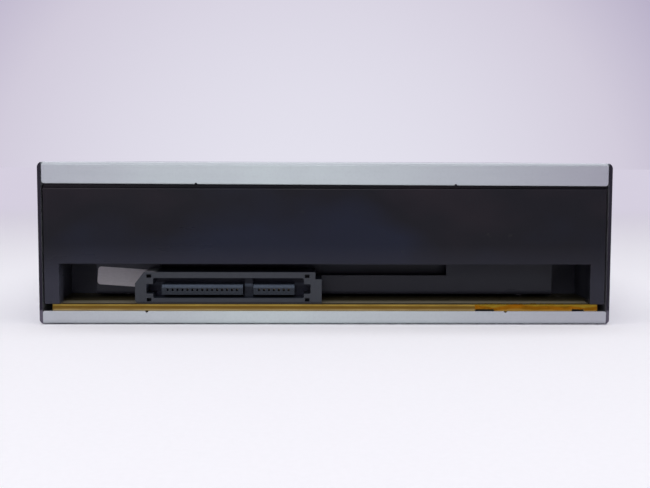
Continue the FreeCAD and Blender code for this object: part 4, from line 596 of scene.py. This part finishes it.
def wound_copper(name, tint):
    """Lacquered copper wire lying in close turns."""
    finish = Finish(name, metallic=1.0, coat_weight=0.5)
    # The turns are painted darker in the grooves between them, as painted shade
    turns = finish.bands(1200.0, "Z")
    finish.feed("Base Color", finish.mix(turns, shade(tint, 0.45), tint))
    finish.gloss(finish.noise(500.0), 0.26, 0.40)
    finish.relief(turns, 0.03)
    return finish.material


def clear_plastic(name, tint, roughness, passing):
    """Clear moulding that lets some light through, with faint swirls."""
    finish = Finish(name, transmission_weight=passing, ior=1.49)
    swirl = finish.noise(220.0, detail=5.0)
    finish.tint(swirl, tint, shade(tint, 0.88))
    finish.gloss(swirl, roughness, roughness + 0.08)
    finish.relief(finish.noise(1200.0), 0.004)
    return finish.material


def coated_glass(name, tint):
    """Small lens with a blue coating."""
    finish = Finish(name, transmission_weight=0.85, ior=1.52, coat_weight=1.0, coat_roughness=0.03)
    haze = finish.noise(900.0, detail=2.0)
    finish.tint(haze, tint, shade(tint, 0.9))
    finish.gloss(haze, 0.02, 0.06)
    return finish.material


def torn_fibre(board):
    """Rough orange-brown fibres of the snapped board edge, with a painted shade line along its top."""
    finish = Finish("snapped_fibre", specular_ior_level=0.08)
    clumps = finish.noise(300.0, (1.0, 1.0, 2.2), 5.0)
    torn = finish.mix(finish.rise(clumps, 0.42, 0.66), board.broken, board.broken_dark)
    runs = finish.spread(finish.noise(110.0, (1.0, 0.0, 0.0), 2.0), -0.30, 0.30, 0.35, 0.65)
    height = finish.rise(finish.axes()["Z"], BOARD_LOW.z, BOARD_HIGH.z)
    upper = finish.rise(finish.sum("ADD", height, runs), 0.62, 0.80)
    torn = finish.mix(upper, torn, board.broken_top)
    lower = finish.fall(finish.sum("ADD", height, finish.both(runs, 0.5)), 0.12, 0.26)
    torn = finish.mix(lower, torn, board.broken_low)
    # Painted shade: a dark line along the top of the snapped edge
    brink = finish.spread(height, 0.0, 0.85, 0.91, 0.96)
    finish.feed("Base Color", finish.mix(brink, torn, shade(board.broken_dark, 0.2)))
    finish.gloss(clumps, 0.65, 0.9)
    finish.relief(finish.noise(2200.0, (0.4, 1.0, 2.0), 5.0), 0.04)
    return finish.material


def plain_paper(tint):
    """Bare uncoated sticker paper with a faint fibre."""
    finish = Finish("sticker_paper", specular_ior_level=0.3)
    fibre = finish.noise(1800.0, (0.5, 1.0, 1.4), 5.0)
    finish.tint(fibre, tint, shade(tint, 0.9))
    finish.gloss(finish.noise(240.0), 0.55, 0.70)
    finish.relief(fibre, 0.006)
    return finish.material


def dress(material, *names):
    """Gives CAD nodes a finish in place of their plain one."""
    for name in names:
        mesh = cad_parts[name].data
        mesh.materials.clear()
        mesh.materials.append(material)


class WRITER_OT_case(bpy.types.Operator):
    """Finish the two folded steel covers"""

    bl_idname = "writer.case"
    bl_label = "Steel Covers"

    def execute(self, context):
        dress(sheet_steel(context.scene.writer_case), "top_cover", "bottom_cover")
        return {"FINISHED"}


class WRITER_OT_mouldings(bpy.types.Operator):
    """Finish the chassis, the tray and the front mouldings"""

    bl_idname = "writer.mouldings"
    bl_label = "Black Mouldings"

    def execute(self, context):
        tints = context.scene.writer_mouldings
        dress(chassis_black(tints), "main_chassis")
        dress(moulding("eroded_tray", tints.tray, 0.46, 0.22, 0.02), "disc_tray")
        dress(moulding("eroded_front", tints.front, 0.50, 0.28, 0.025), "front_bezel", "tray_bezel")
        dress(moulding("smooth_button", tints.button, 0.26, 0.6, 0.003), "eject_button")
        dress(clear_plastic("light_pipe", (0.82, 0.86, 0.80), 0.16, 0.55), "led_lens")
        return {"FINISHED"}


class WRITER_OT_boards(bpy.types.Operator):
    """Finish the circuit boards, their parts and the rear plug"""

    bl_idname = "writer.boards"
    bl_label = "Boards and Plug"

    def execute(self, context):
        board = context.scene.writer_board
        tints = context.scene.writer_mouldings
        dress(laminate("main_board_laminate", board, BOARD_LOW, BOARD_HIGH), "main_pcb")
        dress(laminate("front_board_laminate", board, *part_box("front_pcb")), "front_pcb")
        dress(plug_housing(tints), "sata_connector")
        # Painted shade: the gold of the contacts is painted dark
        dress(metal("gold_contact", board.shaded_contact, 0.24, 1500.0), "sata_contacts")
        dress(moulding("chip_package", board.chip, 0.52, 0.12, 0.01), "pcb_chips")
        dress(metal("capacitor_can", (0.72, 0.73, 0.75), 0.30, 2400.0, (1.0, 1.0, 0.08)), "pcb_capacitors")
        dress(moulding("cable_socket", tints.socket, 0.44, 0.4, 0.005), "pcb_sockets")
        dress(moulding("switch_body", tints.grey, 0.40, 0.4, 0.006), "eject_switch", "tray_switch")
        dress(clear_plastic("lamp_body", (0.86, 0.88, 0.76), 0.10, 0.75), "status_led")
        return {"FINISHED"}


class WRITER_OT_mechanism(bpy.types.Operator):
    """Finish the loading train, the traverse, the pickup and the clamper"""

    bl_idname = "writer.mechanism"
    bl_label = "Mechanism"

    def execute(self, context):
        tints = context.scene.writer_mouldings
        duller = shade(tints.white, 0.93)
        dress(
            moulding("white_gear_plastic", tints.white, 0.36, 0.7, 0.004, duller),
            "motor_pulley", "pulley_gear", "tray_drive_gear", "clamper_disc", "clamper_cap", "feed_nut")
        dress(
            moulding("grey_frame_plastic", tints.grey, 0.44, 0.3, 0.012),
            "cam_slider", "traverse_frame")
        belt, ring, carrier = (0.018, 0.018, 0.018), (0.030, 0.030, 0.033), (0.016, 0.016, 0.018)
        dress(moulding("belt_rubber", belt, 0.62, 0.2, 0.02), "drive_belt")
        dress(moulding("table_ring_rubber", ring, 0.70, 0.15, 0.02), "turntable_ring")
        dress(moulding("lens_carrier", carrier, 0.40, 0.3, 0.006), "lens_holder")
        dress(
            metal("plated_motor_can", (0.62, 0.63, 0.64), 0.28, 1800.0, (1.0, 1.0, 0.10)),
            "loading_motor", "feed_motor", "turntable")
        dress(
            metal("pressed_plate", (0.60, 0.61, 0.63), 0.36, 900.0, (0.08, 1.0, 1.0)),
            "clamper_bridge", "spindle_base", "pickup_cover")
        dress(
            metal("ground_rod", (0.74, 0.74, 0.76), 0.14, 3000.0, (0.2, 1.0, 0.2), 0.001),
            "main_guide_rod", "sub_guide_rod", "lead_screw")
        dress(metal("cast_alloy", (0.50, 0.51, 0.53), 0.48, 1300.0, depth=0.02), "pickup_body")
        dress(metal("sintered_magnet", (0.22, 0.22, 0.23), 0.46, 2600.0, depth=0.012), "clamper_magnet")
        dress(wound_copper("wound_copper", (0.62, 0.27, 0.10)), "spindle_stator")
        dress(coated_glass("coated_lens", (0.60, 0.68, 0.92)), "objective_lens")
        return {"FINISHED"}


def apply_place():
    """Takes the selected piece's place, turn and scale into its mesh."""
    bpy.ops.object.transform_apply(location=True, rotation=True, scale=True)


def start(name, primitive, **options):
    """New piece from a primitive form, selected alone and with its place in its mesh."""
    bpy.ops.object.select_all(action="DESELECT")
    primitive(**options)
    piece = bpy.context.object
    piece.name = name
    apply_place()
    return piece


def start_block(name, low, high):
    """Block between two corners."""
    piece = start(name, bpy.ops.mesh.primitive_cube_add, size=1.0)
    piece.location = (Vector(low) + Vector(high)) / 2
    piece.scale = Vector(high) - Vector(low)
    apply_place()
    return piece


def clear_picks(kind):
    """Leaves no edge and no face of the active piece selected."""
    bpy.ops.object.mode_set(mode="EDIT")
    bpy.ops.mesh.select_mode(type=kind)
    bpy.ops.mesh.select_all(action="DESELECT")
    bpy.ops.object.mode_set(mode="OBJECT")


def pick_edges(piece, test):
    """Edit mode with only the edges selected whose two ends pass the test."""
    clear_picks("EDGE")
    points = piece.data.vertices
    for edge in piece.data.edges:
        edge.select = test(points[edge.vertices[0]].co, points[edge.vertices[1]].co)
    bpy.ops.object.mode_set(mode="EDIT")


def pick_faces(piece, test=lambda middle, normal: True):
    """Edit mode with only the faces selected whose middle and normal pass the test."""
    clear_picks("FACE")
    for face in piece.data.polygons:
        face.select = test(face.center, face.normal)
    bpy.ops.object.mode_set(mode="EDIT")


def extrude(x, y, z):
    """Draws the selected faces out."""
    bpy.ops.mesh.extrude_region_move(TRANSFORM_OT_translate={"value": (x, y, z)})


def end_edit():
    """Back from edit mode."""
    bpy.ops.object.mode_set(mode="OBJECT")


def bring_up(piece):
    """Makes a piece the only selected one."""
    bpy.ops.object.select_all(action="DESELECT")
    piece.select_set(True)
    bpy.context.view_layer.objects.active = piece


def apply_modifier(piece, kind, **settings):
    """Adds one modifier to the active piece, sets it and applies it."""
    modifier = piece.modifiers.new(kind.title(), kind)
    for name, value in settings.items():
        setattr(modifier, name, value)
    bpy.ops.object.modifier_apply(modifier=modifier.name)


def smooth(piece, degrees=35.0):
    """Smooth shading that keeps the sharp edges."""
    bring_up(piece)
    bpy.ops.object.shade_smooth_by_angle(angle=math.radians(degrees))


def settle(piece, material, body):
    """Gives a new piece its finish, the body that carries it and its material slot."""
    piece.data.materials.clear()
    piece.data.materials.append(material)
    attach(piece, body)


def copy_of(piece, name, matrix):
    """Copy of a piece with its own mesh, moved in its mesh."""
    twin = piece.copy()
    twin.data = piece.data.copy()
    twin.name = name
    twin.data.name = name
    twin.data.transform(matrix)
    bpy.context.scene.collection.objects.link(twin)
    return twin


def set_out(piece, places, material, body):
    """Copies a piece that was modelled at the origin to each place."""
    name = piece.name
    for number, place in enumerate(places[1:], 2):
        settle(copy_of(piece, f"{name}_{number}", place), material, body)
    piece.data.transform(places[0])
    piece.name = f"{name}_1"
    piece.data.name = piece.name
    settle(piece, material, body)


def at(x, y, z):
    """Move to a place given in millimetres."""
    return Matrix.Translation(Vector((x, y, z)) * MM)


def places_at(across, along, level):
    """Moves to each place of a grid given in millimetres."""
    return [at(x, y, level) for x in across for y in along]


class WRITER_OT_sticker(bpy.types.Operator):
    """Stick the bare sticker on the inner wall of the connector bay"""

    bl_idname = "writer.sticker"
    bl_label = "Bay Sticker"

    def execute(self, context):
        sticker = context.scene.writer_sticker
        half = Vector((sticker.width / 2, 0.0, sticker.height / 2))
        piece = start_block("bay_sticker", -half, half + Vector((0.0, sticker.thickness, 0.0)))
        pick_edges(piece, lambda a, b: abs(a.y - b.y) > sticker.thickness / 2)
        bpy.ops.mesh.bevel(offset=sticker.corner, segments=6, affect="EDGES")
        end_edit()
        piece.rotation_euler.y = -sticker.tilt
        piece.location = (sticker.middle_x, BAY_WALL_Y, sticker.middle_z)
        apply_place()
        settle(piece, plain_paper(sticker.paper), "case")
        return {"FINISHED"}


class WRITER_OT_snapped_edge(bpy.types.Operator):
    """Roughen the stretch of board edge where it was snapped from its panel"""

    bl_idname = "writer.snapped_edge"
    bl_label = "Snapped Board Edge"

    def execute(self, context):
        low_x, high_x = SNAPPED_X
        piece = start(
            "snapped_board_edge", bpy.ops.mesh.primitive_grid_add, x_subdivisions=96, y_subdivisions=7,
            size=1.0)
        piece.scale = (high_x - low_x, BOARD_HIGH.z - BOARD_LOW.z, 1.0)
        piece.rotation_euler = (-math.pi / 2, 0.0, 0.0)
        piece.location = ((low_x + high_x) / 2, BOARD_HIGH.y, (BOARD_HIGH.z + BOARD_LOW.z) / 2)
        apply_place()

        def undercut(middle, normal):
            return middle.z < BOARD_LOW.z + UNDERCUT_HEIGHT and any(a < middle.x < b for a, b in UNDERCUTS_X)

        pick_faces(piece, undercut)
        bpy.ops.mesh.delete(type="FACE")
        bpy.ops.mesh.select_all(action="SELECT")
        bpy.ops.transform.vertex_random(offset=SPLINTER_SHIFT, uniform=0.35, normal=0.0, seed=4)
        bpy.ops.transform.translate(value=(0.0, SPLINTER_PROUD, 0.0))
        end_edit()
        apply_modifier(piece, "SOLIDIFY", thickness=SPLINTER_DEPTH, offset=-1.0)
        smooth(piece, 50.0)
        settle(piece, torn_fibre(context.scene.writer_board), "case")
        return {"FINISHED"}


def cross_recess(piece, level, reach, width, depth):
    """Cuts a cross into a head whose face is at the level; a depth below nought cuts upwards."""
    floor = level - depth
    clear = level + math.copysign(0.2 * MM, depth)
    low, high = min(floor, clear), max(floor, clear)
    for half_x, half_y in ((reach / 2, width / 2), (width / 2, reach / 2)):
        cutter = start_block("recess_cutter", (-half_x, -half_y, low), (half_x, half_y, high))
        pick_faces(cutter, lambda middle, normal: abs(middle.z - floor) < 0.01 * MM)
        bpy.ops.transform.resize(value=(0.7, 0.7, 1.0))
        end_edit()
        bring_up(piece)
        apply_modifier(piece, "BOOLEAN", object=cutter, operation="DIFFERENCE", solver="EXACT")
        bpy.data.objects.remove(cutter)


def pan_screw(name, radius, height, shank, length_below):
    """Pan-head screw that stands on the origin, with its shank below."""
    piece = start(
        name, bpy.ops.mesh.primitive_cylinder_add, vertices=HEAD_SIDES, radius=radius, depth=height,
        location=(0.0, 0.0, height / 2))
    pick_edges(piece, lambda a, b: min(a.z, b.z) > height - NEAR)
    bpy.ops.mesh.bevel(offset=height * 0.55, segments=5, affect="EDGES")
    pick_faces(piece, lambda middle, normal: normal.z < -0.9)
    bpy.ops.mesh.inset(thickness=radius - shank)
    extrude(0.0, 0.0, -length_below)
    end_edit()
    cross_recess(piece, height, radius * 1.25, radius * 0.26, height * 0.6)
    smooth(piece)
    return piece


def flat_screw(name, screws, length_above):
    """Countersunk screw with its head's face down at the origin."""
    height = screws.flat_height
    narrow = screws.flat_radius - height * 1.4
    piece = start(
        name, bpy.ops.mesh.primitive_cone_add, vertices=HEAD_SIDES, radius1=screws.flat_radius,
        radius2=narrow, depth=height, location=(0.0, 0.0, height / 2))
    pick_edges(piece, lambda a, b: max(a.z, b.z) < NEAR)
    bpy.ops.mesh.bevel(offset=0.08 * MM, segments=2, affect="EDGES")
    pick_faces(piece, lambda middle, normal: normal.z > 0.9)
    bpy.ops.mesh.inset(thickness=narrow - screws.shank_radius)
    extrude(0.0, 0.0, length_above)
    bpy.ops.transform.resize(value=(0.6, 0.6, 1.0))
    end_edit()
    cross_recess(piece, 0.0, screws.flat_radius * 1.2, screws.flat_radius * 0.24, -0.7 * MM)
    smooth(piece)
    return piece


class WRITER_OT_screws(bpy.types.Operator):
    """Put in the screws of the base, the board, the bridge, the motor and the spindle plate"""

    bl_idname = "writer.screws"
    bl_label = "Screws"

    def execute(self, context):
        screws = context.scene.writer_screws
        steel = metal("plated_screw", screws.steel, 0.30, 1600.0, depth=0.006)
        base = flat_screw("base_screw", screws, BASE_SHANK)
        set_out(base, places_at(*BASE_SCREWS), steel, "case")
        head = (screws.head_radius, screws.head_height)
        board = pan_screw("board_screw", *head, screws.shank_radius, BOARD_SHANK)
        set_out(board, places_at(*BOARD_SCREWS, BOARD_HIGH.z / MM), steel, "case")
        bridge = pan_screw("bridge_screw", *BRIDGE_SCREW)
        bridge_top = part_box("clamper_bridge")[0].z / MM + BRIDGE_SHEET
        set_out(bridge, places_at(*BRIDGE_SCREWS, bridge_top), steel, "case")
        motor = pan_screw("motor_screw", *MOTOR_SCREW)
        set_out(motor, places_at(*MOTOR_SCREWS), steel, "case")
        spindle = pan_screw("spindle_plate_screw", *SPINDLE_SCREW)
        over = Matrix.Rotation(math.pi, 4, "X")
        places = [LOWERED @ place @ over for place in places_at(*SPINDLE_SCREWS)]
        set_out(spindle, places, steel, "traverse")
        return {"FINISHED"}


class WRITER_OT_feed_screw(bpy.types.Operator):
    """Cut the thread of the pickup's feed screw"""

    bl_idname = "writer.feed_screw"
    bl_label = "Feed Screw"

    def execute(self, context):
        screws = context.scene.writer_screws
        root = CREST_RADIUS - screws.thread_depth
        core = self.core(root, screws.thread_depth)
        ridge = self.ridge(root, screws)
        bring_up(core)
        ridge.select_set(True)
        bpy.ops.object.join()
        core.data.transform(LOWERED @ at(*FEED_SCREW) @ Matrix.Rotation(-math.pi / 2, 4, "X"))
        smooth(core)
        rod = metal("rolled_screw", (0.70, 0.70, 0.72), 0.18, 2600.0, (1.0, 0.2, 1.0), 0.002)
        settle(core, rod, "screw")
        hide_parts("lead_screw")
        return {"FINISHED"}

    def core(self, root, depth):
        """Rod at the bottom of the thread, with full ends beyond it."""
        low, high = SCREW_ENDS
        core = start(
            "threaded_feed_screw", bpy.ops.mesh.primitive_cylinder_add, vertices=32, radius=root,
            depth=high - low, location=(0.0, 0.0, (low + high) / 2))
        for level in THREAD_ENDS:
            pick_faces(core)
            bpy.ops.mesh.bisect(plane_co=(0.0, 0.0, level), plane_no=(0.0, 0.0, 1.0))
            end_edit()

        def beyond_thread(middle, normal):
            return not THREAD_ENDS[0] < middle.z < THREAD_ENDS[1] and abs(normal.z) < 0.5

        pick_faces(core, beyond_thread)
        bpy.ops.mesh.extrude_region_shrink_fatten(TRANSFORM_OT_shrink_fatten={"value": depth})
        end_edit()
        return core

    def ridge(self, root, screws):
        """Ridge of the thread, swept round the rod."""
        ridge = start("thread_ridge", bpy.ops.mesh.primitive_plane_add, size=1.0)
        ridge.scale = (screws.thread_depth + RIDGE_ROOT, screws.thread_pitch * 0.55, 1.0)
        ridge.rotation_euler.x = math.pi / 2
        ridge.location = ((CREST_RADIUS + root - RIDGE_ROOT) / 2, 0.0, THREAD_ENDS[0])
        apply_place()
        pick_edges(ridge, lambda a, b: min(a.x, b.x) > CREST_RADIUS - 0.05 * MM)
        bpy.ops.transform.resize(value=(1.0, 1.0, 0.6))
        end_edit()
        apply_modifier(
            ridge, "SCREW", axis="Z", angle=-2 * math.pi, screw_offset=screws.thread_pitch,
            iterations=THREAD_TURNS, steps=TURN_STEPS, render_steps=TURN_STEPS)
        pick_faces(ridge)
        bpy.ops.mesh.fill_holes(sides=4)
        bpy.ops.mesh.select_all(action="SELECT")
        bpy.ops.mesh.normals_make_consistent(inside=False)
        end_edit()
        return ridge


class WRITER_OT_chip_legs(bpy.types.Operator):
    """Solder the bent legs of the chips to the board"""

    bl_idname = "writer.chip_legs"
    bl_label = "Chip Legs"

    def execute(self, context):
        tin = metal("tinned_leg", context.scene.writer_board.lead, 0.34, 2200.0)
        for name, low, high, pitch, count, sides in CHIPS:
            row = self.row(name, pitch * MM, count)
            middle = [(a + b) / 2 for a, b in zip(low, high)]
            half = [(b - a) / 2 for a, b in zip(low, high)]
            places = []
            for side in sides:
                turn = Matrix.Rotation(side * math.pi / 2, 4, "Z")
                places.append(at(*middle, BOARD_HIGH.z / MM) @ turn @ at(half[side % 2], 0, 0))
            set_out(row, places, tin, "case")
        return {"FINISHED"}

    def row(self, name, pitch, count):
        """Row of legs along Y that leave a chip's side along X, with their feet on the board."""
        (low_x, low_z), (high_x, high_z) = CHIP_LEG
        leg = start_block(name, (low_x, -pitch / 5, low_z), (high_x, pitch / 5, high_z))
        for out, up in LEG_BENDS:
            pick_faces(leg, lambda middle, normal: normal.x > 0.9)
            extrude(out, 0.0, up)
            end_edit()
        leg.data.transform(Matrix.Translation((0.0, -pitch * (count - 1) / 2, 0.0)))
        bring_up(leg)
        apply_modifier(
            leg, "ARRAY", count=count, use_relative_offset=False, use_constant_offset=True,
            constant_offset_displace=(0.0, pitch, 0.0))
        smooth(leg)
        return leg


class WRITER_OT_stage(bpy.types.Operator):
    """Lay the pale table, hang the soft lights and place the camera"""

    bl_idname = "writer.stage"
    bl_label = "Studio"

    def execute(self, context):
        stage = context.scene.writer_stage
        self.floor(stage)
        self.air(context, stage)
        self.lights(context, stage)
        self.camera(context, stage)
        context.scene.view_settings.view_transform = "Standard"
        return {"FINISHED"}

    def floor(self, stage):
        """Round pale table top that fades into the background far from the object."""
        table = start(
            "table_top", bpy.ops.mesh.primitive_circle_add, vertices=96, radius=TABLE_RADIUS,
            fill_type="NGON", location=(0.0, 0.0, CAD_BOX[0].z - TABLE_GAP))
        pick_faces(table)
        bpy.ops.mesh.inset(thickness=TABLE_RIM)
        end_edit()
        finish = Finish("table_paper", roughness=0.9, specular_ior_level=0.1)
        finish.shader.inputs["Emission Color"].default_value = (*stage.horizon, 1.0)
        away = finish.add("ShaderNodeVectorMath", {0: finish.place, 1: TABLE_MIDDLE}, operation="DISTANCE")
        faded = finish.both(finish.rise(away.outputs["Value"], *TABLE_FADE), finish.seen())
        near = finish.mix(finish.rise(finish.noise(900.0)), stage.paper, shade(stage.paper, 0.985))
        finish.feed("Base Color", finish.mix(faded, near, (0.0, 0.0, 0.0)))
        finish.feed("Emission Strength", faded)
        table.data.materials.append(finish.material)

    def air(self, context, stage):
        """Pale background, softly darker away from the object, and even light from all round."""
        world = bpy.data.worlds.new("studio_air")
        world.use_nodes = True
        sky = Nodes(world.node_tree)
        even = sky.tree.nodes["Background"]
        even.inputs["Color"].default_value = SKY_TINT
        even.inputs["Strength"].default_value = stage.ambient
        way = sky.add("ShaderNodeTexCoord").outputs["Generated"]
        ahead = sky.add("ShaderNodeVectorMath", {0: way, 1: BACKDROP_WAY}, operation="DOT_PRODUCT")
        nearness = sky.rise(ahead.outputs["Value"], BACKDROP_SPREAD, 1.0)
        tint = sky.ramp(nearness, ((0.0, stage.corner), (HORIZON_STOP, stage.horizon), (1.0, stage.backdrop)))
        pale = sky.add("ShaderNodeBackground", {"Color": tint})
        shown = {"Fac": sky.seen(), 1: even.outputs["Background"], 2: pale.outputs["Background"]}
        both = sky.add("ShaderNodeMixShader", shown)
        sky.tree.links.new(both.outputs["Shader"], sky.tree.nodes["World Output"].inputs["Surface"])
        context.scene.world = world

    def lights(self, context, stage):
        """Two large soft lights."""
        for name, place, size, watts in (
                ("overhead_softbox", (0.0, 0.20, 0.95), (1.6, 1.2), stage.overhead),
                ("front_softbox", (0.12, 1.0, 0.5), (0.5, 0.5), stage.front)):
            bpy.ops.object.light_add(type="AREA", location=place)
            lamp = context.object
            lamp.name = name
            lamp.data.shape = "RECTANGLE"
            lamp.data.size, lamp.data.size_y = size
            lamp.data.energy = watts
            lamp.rotation_euler = (LIGHT_AIM - Vector(place)).to_track_quat("-Z", "Y").to_euler()

    def camera(self, context, stage):
        """Camera just above the lid, square on to the connector end."""
        ahead = Vector((
            math.sin(stage.yaw) * math.cos(stage.pitch), -math.cos(stage.yaw) * math.cos(stage.pitch),
            -math.sin(stage.pitch)))
        level = Vector((-math.cos(stage.yaw), -math.sin(stage.yaw), 0.0))
        rise = level.cross(ahead)
        right = level * math.cos(stage.roll) + rise * math.sin(stage.roll)
        up = rise * math.cos(stage.roll) - level * math.sin(stage.roll)
        bpy.ops.object.camera_add()
        camera = context.object
        camera.name = "photo_camera"
        turn = Matrix((right, up, -ahead)).transposed().to_4x4()
        camera.matrix_world = Matrix.Translation(stage.camera) @ turn
        camera.data.sensor_width = SENSOR_WIDTH
        camera.data.lens = stage.focal_pixels / PICTURE_WIDTH * SENSOR_WIDTH
        camera.data.clip_start = 0.01
        context.scene.camera = camera


GROUPS = {
    "writer_case": WriterCase,
    "writer_mouldings": WriterMouldings,
    "writer_board": WriterBoard,
    "writer_sticker": WriterSticker,
    "writer_screws": WriterScrews,
    "writer_stage": WriterStage,
}

STEPS = (
    WRITER_OT_case,
    WRITER_OT_mouldings,
    WRITER_OT_boards,
    WRITER_OT_mechanism,
    WRITER_OT_sticker,
    WRITER_OT_snapped_edge,
    WRITER_OT_screws,
    WRITER_OT_feed_screw,
    WRITER_OT_chip_legs,
    WRITER_OT_stage,
)


class WRITER_PT_sidebar(bpy.types.Panel):
    """Sizes, colours and steps of the disc writer"""

    bl_idname = "WRITER_PT_sidebar"
    bl_label = "Disc Writer"
    bl_space_type = "VIEW_3D"
    bl_region_type = "UI"
    bl_category = "Disc Writer"

    def draw(self, context):
        for name, group in GROUPS.items():
            box = self.layout.box()
            box.label(text=group.__doc__)
            for entry in group.__annotations__:
                box.prop(getattr(context.scene, name), entry)
        for step in STEPS:
            self.layout.operator(step.bl_idname)


def register():
    """Adds the property groups, the steps and the panel."""
    for name, group in GROUPS.items():
        bpy.utils.register_class(group)
        setattr(bpy.types.Scene, name, PointerProperty(type=group))
    for entry in (*STEPS, WRITER_PT_sidebar):
        bpy.utils.register_class(entry)


def unregister():
    """Takes them away again."""
    for entry in (WRITER_PT_sidebar, *reversed(STEPS)):
        bpy.utils.unregister_class(entry)
    for name, group in GROUPS.items():
        delattr(bpy.types.Scene, name)
        bpy.utils.unregister_class(group)


def main():
    """Runs every step in order."""
    register()
    bpy.ops.writer.case()
    bpy.ops.writer.mouldings()
    bpy.ops.writer.boards()
    bpy.ops.writer.mechanism()
    bpy.ops.writer.sticker()
    bpy.ops.writer.snapped_edge()
    bpy.ops.writer.screws()
    bpy.ops.writer.feed_screw()
    bpy.ops.writer.chip_legs()
    bpy.ops.writer.stage()


if __name__ == "__main__":
    main()
